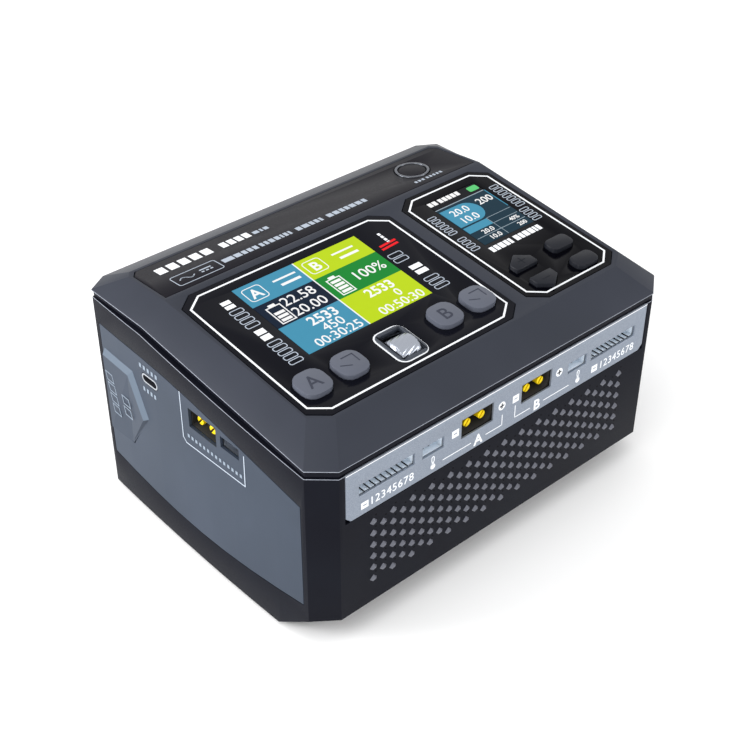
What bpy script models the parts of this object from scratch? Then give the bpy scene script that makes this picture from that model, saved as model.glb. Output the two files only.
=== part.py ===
"""Dual-channel balance charger with a built-in mains supply: every piece is one named object.

Sizes below are millimetres and MM turns them into metres. The frame: X runs right along the
face with the battery ports, that face looks along -Y, Z is up, and the origin is on the
surface the charger stands on, under the middle of its bounding box. Depths such as DECK_EDGE
are measured back from the front face.
"""

import math

import bmesh
import bpy
from mathutils import Matrix, Vector

MM = 0.001

# Case, in plan and from the side
HALF_WIDTH = 89.7
SIDE_BULGE = 1.4
SIDE_STEPS = 16
SIDE_RELIEF = 1.3
RELIEF = [(100.0, 50.0), (108.0, 67.6), (127.0, 67.6), (127.0, 31.0), (112.0, 31.0)]
DEPTH = 136.2
FRONT_HALF = 80.5
FRONT_CORNER = 7.1
BACK_HALF = 81.5
BACK_CORNER = 5.0
FRONT_LIP = 12.7
UNDERCUT = 13.0
RIM_FRONT = 78.1
RIM_BACK = 89.8
KINK = 98.5
FLOOR = 2.6
LIP_INSET = 3.4
LIP_WALL = 1.6
GROOVE = 2.9
HOLLOW_RISE = 20.0

# Cover: its top is a sloping control face and a rear deck that falls away behind it
COVER_FRONT = 81.3
COVER_BACK = 92.7
COVER_EDGE = 0.5
FACE_Z = 90.69
FACE_SLOPE = 0.109
DECK_EDGE = 96.0
DECK_SLOPE = -0.0727
FACE_FRONT = (71.2, 12.3)
FACE_CORNER = (79.3, 18.0)
DECK_FRONT = (80.2, DECK_EDGE)
DECK_CORNER = (79.6, 120.5)
DECK_BACK = (77.2, 123.5)
COVER_WALL = 3.2
COVER_RIM = 2.6
COVER_SKIRT = 12.0
DECK_THICK = 0.8
DECK_MARGIN = 1.6

# Control panels
GAP = 0.3
PANEL = 1.5
PANEL_CORNER = (7.0, 5.4)
MAIN_PANEL = (-78.2, 14.0, 22.0, 93.4)
PSU_PANEL = (28.6, 14.6, 77.4, 93.2)
MAIN_SCREEN = (-57.6, 42.2, 1.5, 86.3)
PSU_SCREEN = (39.3, 52.0, 67.0, 86.2)
LEDGE = 2.0
LEDGE_CORNER = (5.0, 4.0)
DISPLAY_THICK = 3.0
DISPLAY_RIM = 2.6
BOARD_TOP = 7.5
BOARD = 1.6
SWITCH = 2.5
SWITCH_SIDE = 6.0
KEY_BOARD = (-74.0, 18.0, 73.5, 90.0)
KEY_PROUD = 1.8
KEY_FLANGE = 1.0
KEY_TRAVEL = 0.5
MAIN_KEY = 12.4
MAIN_KEY_Y = 29.1
MAIN_KEYS = {"channel_a_key": -67.1, "enter_a_key": -50.5, "channel_b_key": -4.8, "enter_b_key": 11.8}
PSU_BAR = (11.6, 7.2)
PSU_BARS = {"output_key": (63.1, 35.1), "setup_key": (63.1, 22.1)}
ARROW_HALF = 5.7
ARROW_SHOULDER = 4.2
ARROW_TIP = 8.2
PSU_ARROWS = {"up_key": (41.7, 31.6, 1), "down_key": (41.7, 25.6, -1)}
WHEEL_PLACE = (-27.7, 26.6)
WHEEL_RADIUS = 6.5
WHEEL_LENGTH = 9.4
WHEEL_DROP = 4.0
BEZEL_PLACE = (-27.7, 27.5)
WHEEL_AXLE = 1.25
WHEEL_STUB = 2.4
WHEEL_WELL = (10.2, 17.0)
CRADLE = (15.8, 18.0)
BOARD_SLOT = (12.4, 18.4)
WHEEL_HOLE = (10.4, 14.2)
WHEEL_BEZEL = (13.4, 17.2)
POWER_BUTTON = (55.5, 111.0)
POWER_RADIUS = 5.9
POWER_RING = 1.5
POWER_LENGTH = 6.5
POWER_TRAVEL = 1.5
SWITCH_LENGTH = 15.0

# Ports on the front strip, on the left side and at the back
STRIP = (-77.8, 56.9, 77.8, 77.8)
STRIP_THICK = 1.2
PORT_Z = 68.0
XT_Z = 68.6
XT_OPENING = (16.0, 8.2)
XT_CORNER = 2.6
XT_PITCH = 7.2
XT_PIN = 1.75
HEADER_OPENING = (25.4, 4.7)
HEADER_PINS = 9
SENSE_OPENING = (10.2, 4.7)
SENSE_PINS = 2
PIN_PITCH = 2.5
PIN_SIDE = 0.64
PORT_DEPTH = 10.0
PORT_BACK = 1.5
PIN_RECESS = 4.6
XT_RECESS = 0.5
HEADER_RECESS = 1.0
PORT_WALL = 0.8
XT_PORTS = {"battery_a_socket": -15.3, "battery_b_socket": 15.6}
HEADERS = {"balance_a_header": -58.9, "balance_b_header": 58.9}
PROBES = {"probe_a_socket": -37.2, "probe_b_socket": 38.2}
SIDE_XT = (62.4, 68.6)
SIDE_SENSE = (46.6, 68.7)
USB = (95.0, 70.6)
USB_OPENING = (9.0, 3.2)
USB_SHELL = 0.5
USB_INSIDE = 0.2
USB_LENGTH = 9.0
USB_TONGUE = (6.2, 0.7)
INLET_PLACE = (57.0, 63.0)
INLET_OPENING = (24.5, 16.5)
INLET_CORNER = 4.0
DC_PLACE = (57.0, 31.0)
SIDE_PANEL = 1.2
SIDE_PANEL_ENDS = (9.6, 128.6)
SIDE_PANEL_BOTTOM = (19.6, 4.6, 2.4)
SIDE_PANEL_TOP = (65.2, 13.9)

# Inside
FAN = 50.0
FAN_THICK = 15.0
FAN_BORE = 23.6
FAN_HUB = 10.0
FAN_BLADES = 7
FAN_PLACES = {"left": -48.0, "right": 8.0}
FAN_Z = 46.0
STRUT = (2.2, 1.5)
GRILLE_PITCH = 6.2
GRILLE_SLOT = 3.2
MAIN_BOARD = (-72.0, 14.0, 72.0, 106.0)
MAIN_BOARD_Z = 12.0
HEATSINK = (-66.0, 20.0, -14.0, 60.0)
HEATSINK_BASE = 5.0
FINS = 9
FIN = 2.4
FIN_TOP = 48.0
TRANSFORMER = (0.0, 22.0, 34.0, 52.0)
TRANSFORMER_HEIGHT = 30.0
CAPACITOR = (53.0, 40.0, 11.0, 36.0)
CHOKE = (10.0, 78.0, 11.0, 12.0)
CHOKE_HOLE = 5.0
FOOT_RADIUS = 6.0
FOOT_PROUD = 1.2
POCKET_DEPTH = 1.0
FOOT_PLACES = [(-74.0, 26.0), (74.0, 26.0), (-74.0, 122.0), (74.0, 122.0)]
SCREW_RADIUS = 2.6
SCREW_DEPTH = 1.6
SCREW_PLACES = [(-60.0, 26.0), (60.0, 26.0), (-60.0, 122.0), (60.0, 122.0)]

FACING = {
    "front": (math.pi / 2, 0, 0),
    "left": (math.pi / 2, 0, -math.pi / 2),
    "back": (math.pi / 2, 0, math.pi),
}
FRONT_Y = -DEPTH / 2


def clear_scene():
    for obj in list(bpy.data.objects):
        bpy.data.objects.remove(obj, do_unlink=True)


def material(name, hex_colour, roughness, metallic=0.0):
    """A Principled material from an sRGB hex colour, shared by name."""
    if name in bpy.data.materials:
        return bpy.data.materials[name]
    channels = [int(hex_colour[i : i + 2], 16) / 255 for i in (0, 2, 4)]
    linear = [c / 12.92 if c <= 0.04045 else ((c + 0.055) / 1.055) ** 2.4 for c in channels]
    made = bpy.data.materials.new(name)
    made.use_nodes = True
    shader = made.node_tree.nodes["Principled BSDF"]
    shader.inputs["Base Color"].default_value = (*linear, 1)
    shader.inputs["Roughness"].default_value = roughness
    shader.inputs["Metallic"].default_value = metallic
    return made


def case_plastic():
    return material("case_black_abs", "2b2c34", 0.5)


def cover_plastic():
    return material("cover_grey_abs", "5b5f6b", 0.45)


def side_plastic():
    return material("side_blue_grey_abs", "5f6a7a", 0.5)


def gloss_black():
    return material("panel_gloss_black", "14151b", 0.25)


def port_plastic():
    return material("port_black_nylon", "1d1e22", 0.5)


def gold():
    return material("contact_gold", "d9a514", 0.3, 1.0)


def steel():
    return material("bright_steel", "b8bcc4", 0.3, 1.0)


def board_green():
    return material("board_green", "1d4a32", 0.5)


# Building blocks


def finish(name, bm, surface, parent=None):
    """Turn a bmesh in millimetres into an object, faces pointing out."""
    bmesh.ops.recalc_face_normals(bm, faces=bm.faces)
    bmesh.ops.scale(bm, vec=(MM, MM, MM), verts=bm.verts)
    mesh = bpy.data.meshes.new(name)
    bm.to_mesh(mesh)
    bm.free()
    mesh.materials.append(surface)
    obj = bpy.data.objects.new(name, mesh)
    bpy.context.scene.collection.objects.link(obj)
    obj.parent = parent
    return obj


def prism_mesh(outline, low, high, axis="Z"):
    """Extrude a flat outline between two heights along an axis."""
    order = {"Z": (0, 1, 2), "Y": (0, 2, 1), "X": (2, 0, 1)}[axis]
    bm = bmesh.new()
    corners = []
    for a, b in outline:
        point = (a, b, low)
        corners.append(bm.verts.new([point[i] for i in order]))
    face = bm.faces.new(corners)
    moved = bmesh.ops.extrude_face_region(bm, geom=[face])["geom"]
    lift = [0, 0, 0]
    lift["XYZ".index(axis)] = high - low
    bmesh.ops.translate(bm, vec=lift, verts=[v for v in moved if isinstance(v, bmesh.types.BMVert)])
    return bm


def prism(name, outline, low, high, surface, axis="Z", parent=None):
    return finish(name, prism_mesh(outline, low, high, axis), surface, parent)


def block(name, low, high, surface, parent=None):
    outline = [(low[0], low[1]), (high[0], low[1]), (high[0], high[1]), (low[0], high[1])]
    return prism(name, outline, low[2], high[2], surface, parent=parent)


def rod(name, radius, low, high, surface, parent=None, centre=(0, 0), sides=24, axis="Z"):
    return prism(name, ring(radius, sides, centre), low, high, surface, axis, parent)


def ring(radius, sides=24, centre=(0, 0)):
    turn = [2 * math.pi * i / sides for i in range(sides)]
    return [(centre[0] + radius * math.cos(a), centre[1] + radius * math.sin(a)) for a in turn]


def rectangle(width, height, centre=(0, 0)):
    x, y = centre
    w, h = width / 2, height / 2
    return [(x - w, y - h), (x + w, y - h), (x + w, y + h), (x - w, y + h)]


def rounded(width, height, radius, centre=(0, 0), steps=3):
    """A rectangle with round corners, each an arc of the given number of steps."""
    points = []
    for i, (sx, sy) in enumerate([(1, -1), (1, 1), (-1, 1), (-1, -1)]):
        middle = (centre[0] + sx * (width / 2 - radius), centre[1] + sy * (height / 2 - radius))
        for k in range(steps + 1):
            angle = math.radians(-90 + 90 * i + 90 * k / steps)
            points.append((middle[0] + radius * math.cos(angle), middle[1] + radius * math.sin(angle)))
    return points


def cut_corners(x0, y0, x1, y1, cut_x, cut_y):
    """An octagon: a rectangle whose four corners are cut off."""
    return [
        (x0 + cut_x, y0), (x1 - cut_x, y0), (x1, y0 + cut_y), (x1, y1 - cut_y),
        (x1 - cut_x, y1), (x0 + cut_x, y1), (x0, y1 - cut_y), (x0, y0 + cut_y),
    ]


def boolean(target, tool, operation):
    change = target.modifiers.new(operation.lower(), "BOOLEAN")
    change.operation = operation
    change.object = tool
    change.solver = "EXACT"
    tool.hide_render = True
    tool.display_type = "WIRE"
    return target


def cut(target, tool):
    return boolean(target, tool, "DIFFERENCE")


def join(target, tool):
    return boolean(target, tool, "UNION")


def soften(obj, width, segments=1):
    """Bevel the sharp edges."""
    bevel = obj.modifiers.new("bevel", "BEVEL")
    bevel.width = width * MM
    bevel.segments = segments
    bevel.limit_method = "ANGLE"
    bevel.angle_limit = math.radians(40)
    return obj


def smooth(obj):
    obj.data.shade_smooth()
    obj.data.set_sharp_from_angle(angle=math.radians(35))
    return obj


def frame(name, place, turn):
    """An empty that carries pieces drawn in its own axes."""
    empty = bpy.data.objects.new(name, None)
    bpy.context.scene.collection.objects.link(empty)
    empty.location = [c * MM for c in place]
    empty.rotation_euler = turn
    return empty


def place(obj, x, y, z):
    obj.location = (x * MM, y * MM, z * MM)
    return obj


# Case


def side_arc(inset):
    """The right side in plan, bulging outwards a little, from the front corner to the back one."""
    front, back = FRONT_CORNER, DEPTH - BACK_CORNER
    points = []
    for i in range(SIDE_STEPS + 1):
        t = i / SIDE_STEPS
        bulge = SIDE_BULGE * (1 - (2 * t - 1) ** 2)
        points.append((HALF_WIDTH + bulge - inset, FRONT_Y + front + t * (back - front)))
    return points


def side_place(depth):
    """How far the side's surface stands from the middle at a depth behind the front face."""
    front, back = FRONT_CORNER, DEPTH - BACK_CORNER
    t = (depth - front) / (back - front)
    return HALF_WIDTH + SIDE_BULGE * (1 - (2 * t - 1) ** 2)


def case_plan(inset=0.0):
    """The case's outline seen from above: long sides with a slight bulge, four cut corners."""
    right = [(FRONT_HALF - inset / 2, FRONT_Y + inset)]
    right += side_arc(inset)
    right += [(BACK_HALF - inset / 2, FRONT_Y + DEPTH - inset)]
    left = [(-x, y) for x, y in reversed(right)]
    return right + left


def slice_off(bm, point, normal):
    """Cut away what lies on the side that the normal points to, and close the cut."""
    geometry = list(bm.verts) + list(bm.edges) + list(bm.faces)
    toward = Vector(normal).normalized()
    done = bmesh.ops.bisect_plane(
        bm, geom=geometry, dist=1e-5, plane_co=Vector(point), plane_no=toward, clear_outer=True
    )
    edges = [e for e in done["geom_cut"] if isinstance(e, bmesh.types.BMEdge)]
    bmesh.ops.contextual_create(bm, geom=edges)


def rim_slope():
    return (RIM_BACK - RIM_FRONT) / KINK


def case_solid(name, inset, floor, rise, surface):
    """The case's outline as a solid from a floor up to the sloping rim, cut under at the front."""
    bm = prism_mesh(case_plan(inset), floor, 130)
    slice_off(bm, (0, FRONT_Y, RIM_FRONT + rise), (0, -rim_slope(), 1))
    slice_off(bm, (0, 0, RIM_BACK + rise), (0, 0, 1))
    slice_off(bm, (0, FRONT_Y + inset, FRONT_LIP + inset / 2), (0, -FRONT_LIP, -UNDERCUT))
    chamfer = Vector((HALF_WIDTH - FRONT_HALF, FRONT_CORNER)).normalized()
    for side in (-1, 1):
        corner = (side * (FRONT_HALF - inset / 2), FRONT_Y + inset, FRONT_LIP + inset / 2)
        outward = (side * chamfer.y * FRONT_LIP, -chamfer.x * FRONT_LIP, -UNDERCUT)
        slice_off(bm, corner, outward)
    return finish(name, bm, surface)


def make_lower_case():
    """A moulded tub; a thinner lip stands inside its rim and closes the groove under the cover."""
    black = case_plastic()
    case = case_solid("lower_case", 0, 0, 0, black)
    join(case, case_solid("lip_shape", LIP_INSET, FLOOR, GROOVE, black))
    cut(case, case_solid("hollow_shape", LIP_INSET + LIP_WALL, FLOOR, HOLLOW_RISE, black))
    x0, z0, x1, z1 = STRIP
    recess = [(x0 - GAP, z0 - GAP), (x1 + GAP, z0 - GAP), (x1 + GAP, 90), (x0 - GAP, 90)]
    cut(case, prism("strip_recess", recess, FRONT_Y - 5, FRONT_Y + STRIP_THICK + GAP, black, "Y"))
    for x, z, width, height in port_windows():
        window = rectangle(width, height, (x, z))
        cut(case, prism("port_window", window, FRONT_Y - 5, FRONT_Y + 12, black, "Y"))
    cut_side_openings(case, black)
    cut_back_openings(case, black)
    cut_base_pockets(case, black)
    return case


def port_windows():
    """Where each front socket passes through the wall, with a gap all round."""
    grow = 2 * (PORT_WALL + GAP)
    rows = []
    for x in XT_PORTS.values():
        rows.append((x, XT_Z, XT_OPENING[0] + grow, XT_OPENING[1] + grow))
    for x in HEADERS.values():
        rows.append((x, PORT_Z, HEADER_OPENING[0] + grow, HEADER_OPENING[1] + grow))
    for x in PROBES.values():
        rows.append((x, PORT_Z, SENSE_OPENING[0] + grow, SENSE_OPENING[1] + grow))
    return rows


def side_window(name, depth, height, opening, grow, surface):
    """A window through the left wall, in plane with its socket."""
    outline = rectangle(opening[0] + grow, opening[1] + grow, (FRONT_Y + depth, height))
    return prism(name, outline, -HALF_WIDTH - 5, -HALF_WIDTH + 12, surface, "X")


def usb_outline(grow):
    """The small charging socket's shell in its own plane: a slot with round ends."""
    width, height = USB_OPENING[0] + 2 * grow, USB_OPENING[1] + 2 * grow
    return rounded(width, height, height / 2 - 0.05, steps=5)


def usb_window(name, surface):
    outline = [(FRONT_Y + USB[0] + a, USB[1] + b) for a, b in usb_outline(USB_SHELL + GAP)]
    return prism(name, outline, -HALF_WIDTH - 5, -HALF_WIDTH + 12, surface, "X")


def cut_side_openings(case, surface):
    grow = 2 * (PORT_WALL + GAP)
    cut(case, side_window("side_xt_window", *SIDE_XT, XT_OPENING, grow, surface))
    cut(case, side_window("side_sense_window", *SIDE_SENSE, SENSE_OPENING, grow, surface))
    cut(case, side_window("usb_window", *USB, USB_OPENING, grow, surface))
    cut(case, side_slab("left_recess", -1, GAP, surface))
    cut(case, side_slab("right_recess", 1, GAP, surface))


def cut_back_openings(case, surface):
    """Slots in front of each fan and windows for the two inlets."""
    back = FRONT_Y + DEPTH
    for x in FAN_PLACES.values():
        for row in range(-3, 4):
            half = math.sqrt(FAN_BORE**2 - (row * GRILLE_PITCH) ** 2) - 1.5
            outline = rectangle(2 * half, GRILLE_SLOT, (x, FAN_Z + row * GRILLE_PITCH))
            cut(case, prism("fan_slot", outline, back - 12, back + 5, surface, "Y"))
    grow = 2 * (PORT_WALL + GAP)
    for (x, z), (width, height) in ((INLET_PLACE, INLET_OPENING), (DC_PLACE, XT_OPENING)):
        window = rectangle(width + grow, height + grow, (x, z))
        cut(case, prism("inlet_window", window, back - 12, back + 5, surface, "Y"))


def cut_base_pockets(case, surface):
    for x, depth in FOOT_PLACES:
        pocket = rod("foot_pocket", FOOT_RADIUS + GAP, -5, POCKET_DEPTH, surface)
        cut(case, place(pocket, x, FRONT_Y + depth, 0))
    for x, depth in SCREW_PLACES:
        pocket = rod("screw_pocket", SCREW_RADIUS + GAP, -5, SCREW_DEPTH, surface)
        cut(case, place(pocket, x, FRONT_Y + depth, 0))


def side_outline(grow=0.0):
    """The coloured side plate: its top and bottom edges are long shallow arcs, (depth, height)."""
    front, back = SIDE_PANEL_ENDS[0] - grow, SIDE_PANEL_ENDS[1] + grow
    low, sag, drop = SIDE_PANEL_BOTTOM
    high, climb = SIDE_PANEL_TOP
    bottom = []
    top = []
    for i in range(9):
        t = i / 8
        depth = FRONT_Y + front + t * (back - front)
        bottom.append((depth, low - grow - sag * math.sin(math.pi * t) - drop * t))
        top.append((depth, high + grow + climb * math.sin(math.pi / 2 * min(1, 1.25 * t))))
    return bottom + top[::-1]


def side_slab(name, side, grow, surface):
    """The layer of the case's side that the plate fills, as thick as the plate and its gap."""
    thick = SIDE_PANEL + grow
    outside = 5 if grow else 0
    steps = side_arc(0)
    outer = [(side * (x + outside), y) for x, y in steps]
    inner = [(side * (x - thick), y) for x, y in reversed(steps)]
    slab = prism(name, outer + inner, 0, 95, surface)
    reach = sorted((side * (HALF_WIDTH - 20), side * (HALF_WIDTH + 20)))
    limit = prism(name + "_outline", side_outline(grow), *reach, surface, "X")
    return boolean(slab, limit, "INTERSECT")


def make_side_panel(name, side):
    panel = side_slab(name, side, 0, side_plastic())
    relief = [(FRONT_Y + depth, z) for depth, z in RELIEF]
    top = HALF_WIDTH + SIDE_BULGE * 0.3 + SIDE_RELIEF
    reach = sorted((side * (HALF_WIDTH - SIDE_PANEL / 2 + 0.3), side * top))
    join(panel, prism(name + "_relief", relief, *reach, side_plastic(), "X"))
    if side < 0:
        for centre, opening in ((SIDE_XT, XT_OPENING), (SIDE_SENSE, SENSE_OPENING)):
            cut(panel, side_window(name + "_window", *centre, opening, 0.2, side_plastic()))
        cut(panel, usb_window(name + "_usb_window", side_plastic()))
    return panel


# Cover


def face_height(depth):
    return FACE_Z + FACE_SLOPE * depth


def deck_height(depth):
    return face_height(DECK_EDGE) + DECK_SLOPE * (depth - DECK_EDGE)


def cover_rings(inset, drop, skirt):
    """Corner points of the cover's right half: bottom edge, shoulder above it, and top outline."""
    slope = (COVER_BACK - COVER_FRONT) / KINK
    low = [
        (FRONT_HALF - inset / 2, inset, COVER_FRONT),
        (HALF_WIDTH - inset, FRONT_CORNER + inset / 2, COVER_FRONT + slope * FRONT_CORNER),
        (HALF_WIDTH - inset, KINK, COVER_BACK),
        (HALF_WIDTH - inset, DEPTH - BACK_CORNER - inset / 2, COVER_BACK),
        (BACK_HALF - inset / 2, DEPTH - inset, COVER_BACK),
    ]
    shoulder = [(x, y, z + COVER_EDGE - drop) for x, y, z in low]
    bottom = [(x, y, z - skirt) for x, y, z in low]
    narrow = inset * 0.6
    top = []
    for x, depth in (FACE_FRONT, FACE_CORNER, DECK_FRONT, DECK_CORNER, DECK_BACK):
        height = face_height(depth) if depth <= DECK_EDGE else deck_height(depth)
        forward = narrow if depth < DECK_EDGE else 0 if depth == DECK_EDGE else -narrow
        top.append((x - narrow, depth + forward, height - drop))
    return bottom, shoulder, top


def cover_solid(name, inset, drop, skirt, surface):
    """A closed hip-roof shape through the three rings of corners."""
    bm = bmesh.new()
    loops = []
    for ring_points in cover_rings(inset, drop, skirt):
        right = [bm.verts.new((x, FRONT_Y + y, z)) for x, y, z in ring_points]
        left = [bm.verts.new((-x, FRONT_Y + y, z)) for x, y, z in ring_points]
        loops.append(right + left[::-1])
    bottom, shoulder, top = loops
    count = len(top)
    for lower, upper in ((bottom, shoulder), (shoulder, top)):
        for i in range(count):
            j = (i + 1) % count
            bm.faces.new((lower[i], lower[j], upper[j], upper[i]))
    bm.faces.new(bottom[::-1])
    bm.faces.new([top[0], top[1], top[2], top[7], top[8], top[9]])
    bm.faces.new([top[2], top[3], top[4], top[5], top[6], top[7]])
    bmesh.ops.triangulate(bm, faces=bm.faces)
    return finish(name, bm, surface)


def make_top_cover(face, deck):
    grey = cover_plastic()
    cover = cover_solid("top_cover", 0, 0, 0, grey)
    cut(cover, cover_solid("cover_hollow", COVER_RIM, COVER_WALL, COVER_SKIRT, grey))
    for number, panel in enumerate((MAIN_PANEL, PSU_PANEL)):
        x0, y0, x1, y1 = panel
        corner = PANEL_CORNER
        pocket = cut_corners(x0 - GAP, along(y0) - GAP, x1 + GAP, along(y1) + GAP, *corner)
        cut(cover, prism(f"panel_pocket_{number}", pocket, -PANEL - GAP, 8, grey, parent=face))
        window = cut_corners(x0 + LEDGE, along(y0) + LEDGE, x1 - LEDGE, along(y1) - LEDGE, *LEDGE_CORNER)
        cut(cover, prism(f"panel_window_{number}", window, -8, 4, grey, parent=face))
    cut(cover, prism("deck_pocket", deck_outline(GAP), -DECK_THICK - GAP, 8, grey, parent=deck))
    hole = rod("power_hole", POWER_RADIUS + POWER_RING + 0.4, -12, 8, grey, deck, power_place(), 32)
    cut(cover, hole)
    return cover


def along(depth):
    """A depth behind the front face as a distance up the control face."""
    return depth / math.cos(math.atan(FACE_SLOPE))


# Rear deck


def deck_outline(grow):
    """The dark plate that fills the rear deck, in the deck's own axes."""
    margin = DECK_MARGIN - grow
    front = margin
    back = (DECK_BACK[1] - DECK_EDGE) - margin
    x_front = DECK_FRONT[0] - margin
    x_back = DECK_BACK[0] - margin
    side = DECK_CORNER[0] - margin
    low = (DECK_CORNER[1] - DECK_EDGE) - margin
    right = [(x_front, front), (side, low), (x_back, back)]
    return right + [(-x, y) for x, y in reversed(right)]


def power_place():
    return (POWER_BUTTON[0], POWER_BUTTON[1] - DECK_EDGE)


def make_deck_plate(deck):
    dark = material("deck_dark_foil", "26252a", 0.35)
    plate = prism("deck_plate", deck_outline(0), -DECK_THICK, 0, dark, parent=deck)
    hole = rod("deck_hole", POWER_RADIUS + POWER_RING + 0.4, -5, 5, dark, deck, power_place(), 32)
    return cut(plate, hole)


def make_power_switch(deck):
    """A metal latching switch: a body with a bright ring round a flat round button."""
    x, y = power_place()
    outer = POWER_RADIUS + POWER_RING
    body = rod("power_switch_body", outer, -SWITCH_LENGTH, 0.3, steel(), deck, (x, y), 32)
    bore_end = -(POWER_LENGTH + POWER_TRAVEL + 1.0)
    cut(body, rod("power_switch_bore", POWER_RADIUS + GAP, bore_end, 5, steel(), deck, (x, y), 32))
    dark = material("power_button_dark", "23242c", 0.35)
    button = smooth(rod("power_button", POWER_RADIUS, -POWER_LENGTH, 0.1, dark, deck, sides=32))
    place(button, x, y, 0)
    return button


# Control face


def make_panel(name, outline_box, screen, face):
    """A gloss black panel with a window for its screen."""
    x0, y0, x1, y1 = outline_box
    outline = cut_corners(x0, along(y0), x1, along(y1), *PANEL_CORNER)
    panel = prism(name, outline, -PANEL, 0, gloss_black(), parent=face)
    return cut(panel, screen_shape(name + "_window", screen, 0, -5, 5, gloss_black(), face))


def screen_shape(name, screen, grow, low, high, surface, face):
    x0, y0, x1, y1 = screen
    outline = cut_corners(x0 - grow, along(y0) - grow, x1 + grow, along(y1) + grow, 0.4, 0.4)
    return prism(name, outline, low, high, surface, parent=face)


def make_screen(name, screen, face):
    """A clear lens in the panel's window and the display module behind it."""
    clear = material("lens_clear", "20262c", 0.1)
    screen_shape(name + "_lens", screen, -GAP, -PANEL, 0, clear, face)
    low = -PANEL - GAP - DISPLAY_THICK
    module = material("display_module", "10273c", 0.4)
    screen_shape(name + "_module", screen, DISPLAY_RIM, low, -PANEL - GAP, module, face)


def make_key(name, outline, flange, x, y, surface, panel, face):
    """A key cap through the panel, with a flange that holds it in and a post over its switch."""
    key = prism(name, outline, -PANEL - GAP - KEY_FLANGE, KEY_PROUD, surface, parent=face)
    place(key, x, y, 0)
    low = -PANEL - GAP - KEY_FLANGE
    wide = prism(name + "_flange", flange, low, -PANEL - GAP, surface, parent=face)
    place(wide, x, y, 0)
    join(key, wide)
    post_end = -(BOARD_TOP - SWITCH) + KEY_TRAVEL + 0.1
    post = rod(name + "_post", 1.6, post_end, low + 0.2, surface, face, sides=12)
    place(post, x, y, 0)
    join(key, post)
    hole = prism(name + "_hole", scaled(outline, 0.25), -5, 5, surface, parent=face)
    place(hole, x, y, 0)
    cut(panel, hole)
    return key


def scaled(outline, grow):
    """The outline pushed outwards by a distance, for convex outlines round the origin."""
    points = []
    for x, y in outline:
        reach = math.hypot(x, y)
        points.append((x * (1 + grow / reach * 1.3), y * (1 + grow / reach * 1.3)))
    return points


def make_main_keys(panel, face):
    grey = material("key_grey_abs", "555864", 0.45)
    outline = rounded(MAIN_KEY, MAIN_KEY, 4.4, steps=4)
    flange = rectangle(MAIN_KEY + 1.4, MAIN_KEY + 1.4)
    for name, x in MAIN_KEYS.items():
        make_key(name, outline, flange, x, along(MAIN_KEY_Y), grey, panel, face)


def make_psu_keys(panel, face):
    dark = material("key_dark_abs", "33353d", 0.4)
    bar = rounded(*PSU_BAR, 2.4)
    for name, (x, depth) in PSU_BARS.items():
        make_key(name, bar, rectangle(PSU_BAR[0] + 1.4, PSU_BAR[1] + 1.4), x, along(depth), dark, panel, face)
    middle = ARROW_TIP / 2
    for name, (x, depth, way) in PSU_ARROWS.items():
        house = [
            (-ARROW_HALF, -middle), (ARROW_HALF, -middle), (ARROW_HALF, ARROW_SHOULDER - middle),
            (0, ARROW_TIP - middle), (-ARROW_HALF, ARROW_SHOULDER - middle),
        ]
        outline = [(way * a, way * b) for a, b in house]
        flange = rectangle(2 * ARROW_HALF + 1.2, ARROW_TIP + 1.2)
        make_key(name, outline, flange, x, along(depth) + way * middle, dark, panel, face)


def make_wheel(panel, face):
    """A ribbed roller across a slot: bezel, roller with its axle ends, and the cradle that holds it."""
    middle = (BEZEL_PLACE[0], along(BEZEL_PLACE[1]))
    slot = rounded(*WHEEL_BEZEL, 3.0, middle)
    clearance = rounded(WHEEL_BEZEL[0] + 2 * GAP, WHEEL_BEZEL[1] + 2 * GAP, 3.0 + GAP, middle)
    cut(panel, prism("wheel_slot", clearance, -5, 5, gloss_black(), parent=face))
    bezel_grey = material("wheel_bezel_grey", "6d7078", 0.4)
    bezel = prism("wheel_bezel", slot, -PANEL, 0.5, bezel_grey, parent=face)
    cut(bezel, prism("bezel_slot", rectangle(*WHEEL_HOLE, middle), -5, 5, bezel_grey, parent=face))

    x, y = WHEEL_PLACE[0], along(WHEEL_PLACE[1])
    silver = material("wheel_silver", "c9ced8", 0.25, 0.6)
    half = WHEEL_LENGTH / 2
    wheel = rod("scroll_wheel", WHEEL_RADIUS, -half, half, silver, face, sides=36, axis="X")
    smooth(soften(wheel, 0.6))
    end = half + WHEEL_STUB
    axle = rod("scroll_axle", WHEEL_AXLE, -end, end, silver, face, sides=16, axis="X")
    join(wheel, axle)
    place(wheel, x, y, -WHEEL_DROP)
    place(axle, x, y, -WHEEL_DROP)

    frame_black = port_plastic()
    outer = rectangle(*CRADLE, (x, y))
    cradle = prism("wheel_cradle", outer, -BOARD_TOP + GAP, -PANEL - GAP, frame_black, parent=face)
    inner = rectangle(*WHEEL_WELL, (x, y))
    cut(cradle, prism("cradle_well", inner, -20, 5, frame_black, parent=face))
    reach = (y, -WHEEL_DROP)
    bearing = ring(WHEEL_AXLE + 0.1, 16, reach)
    cut(cradle, prism("cradle_bearing", bearing, x - 12, x + 12, frame_black, "X", face))
    return wheel


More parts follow.
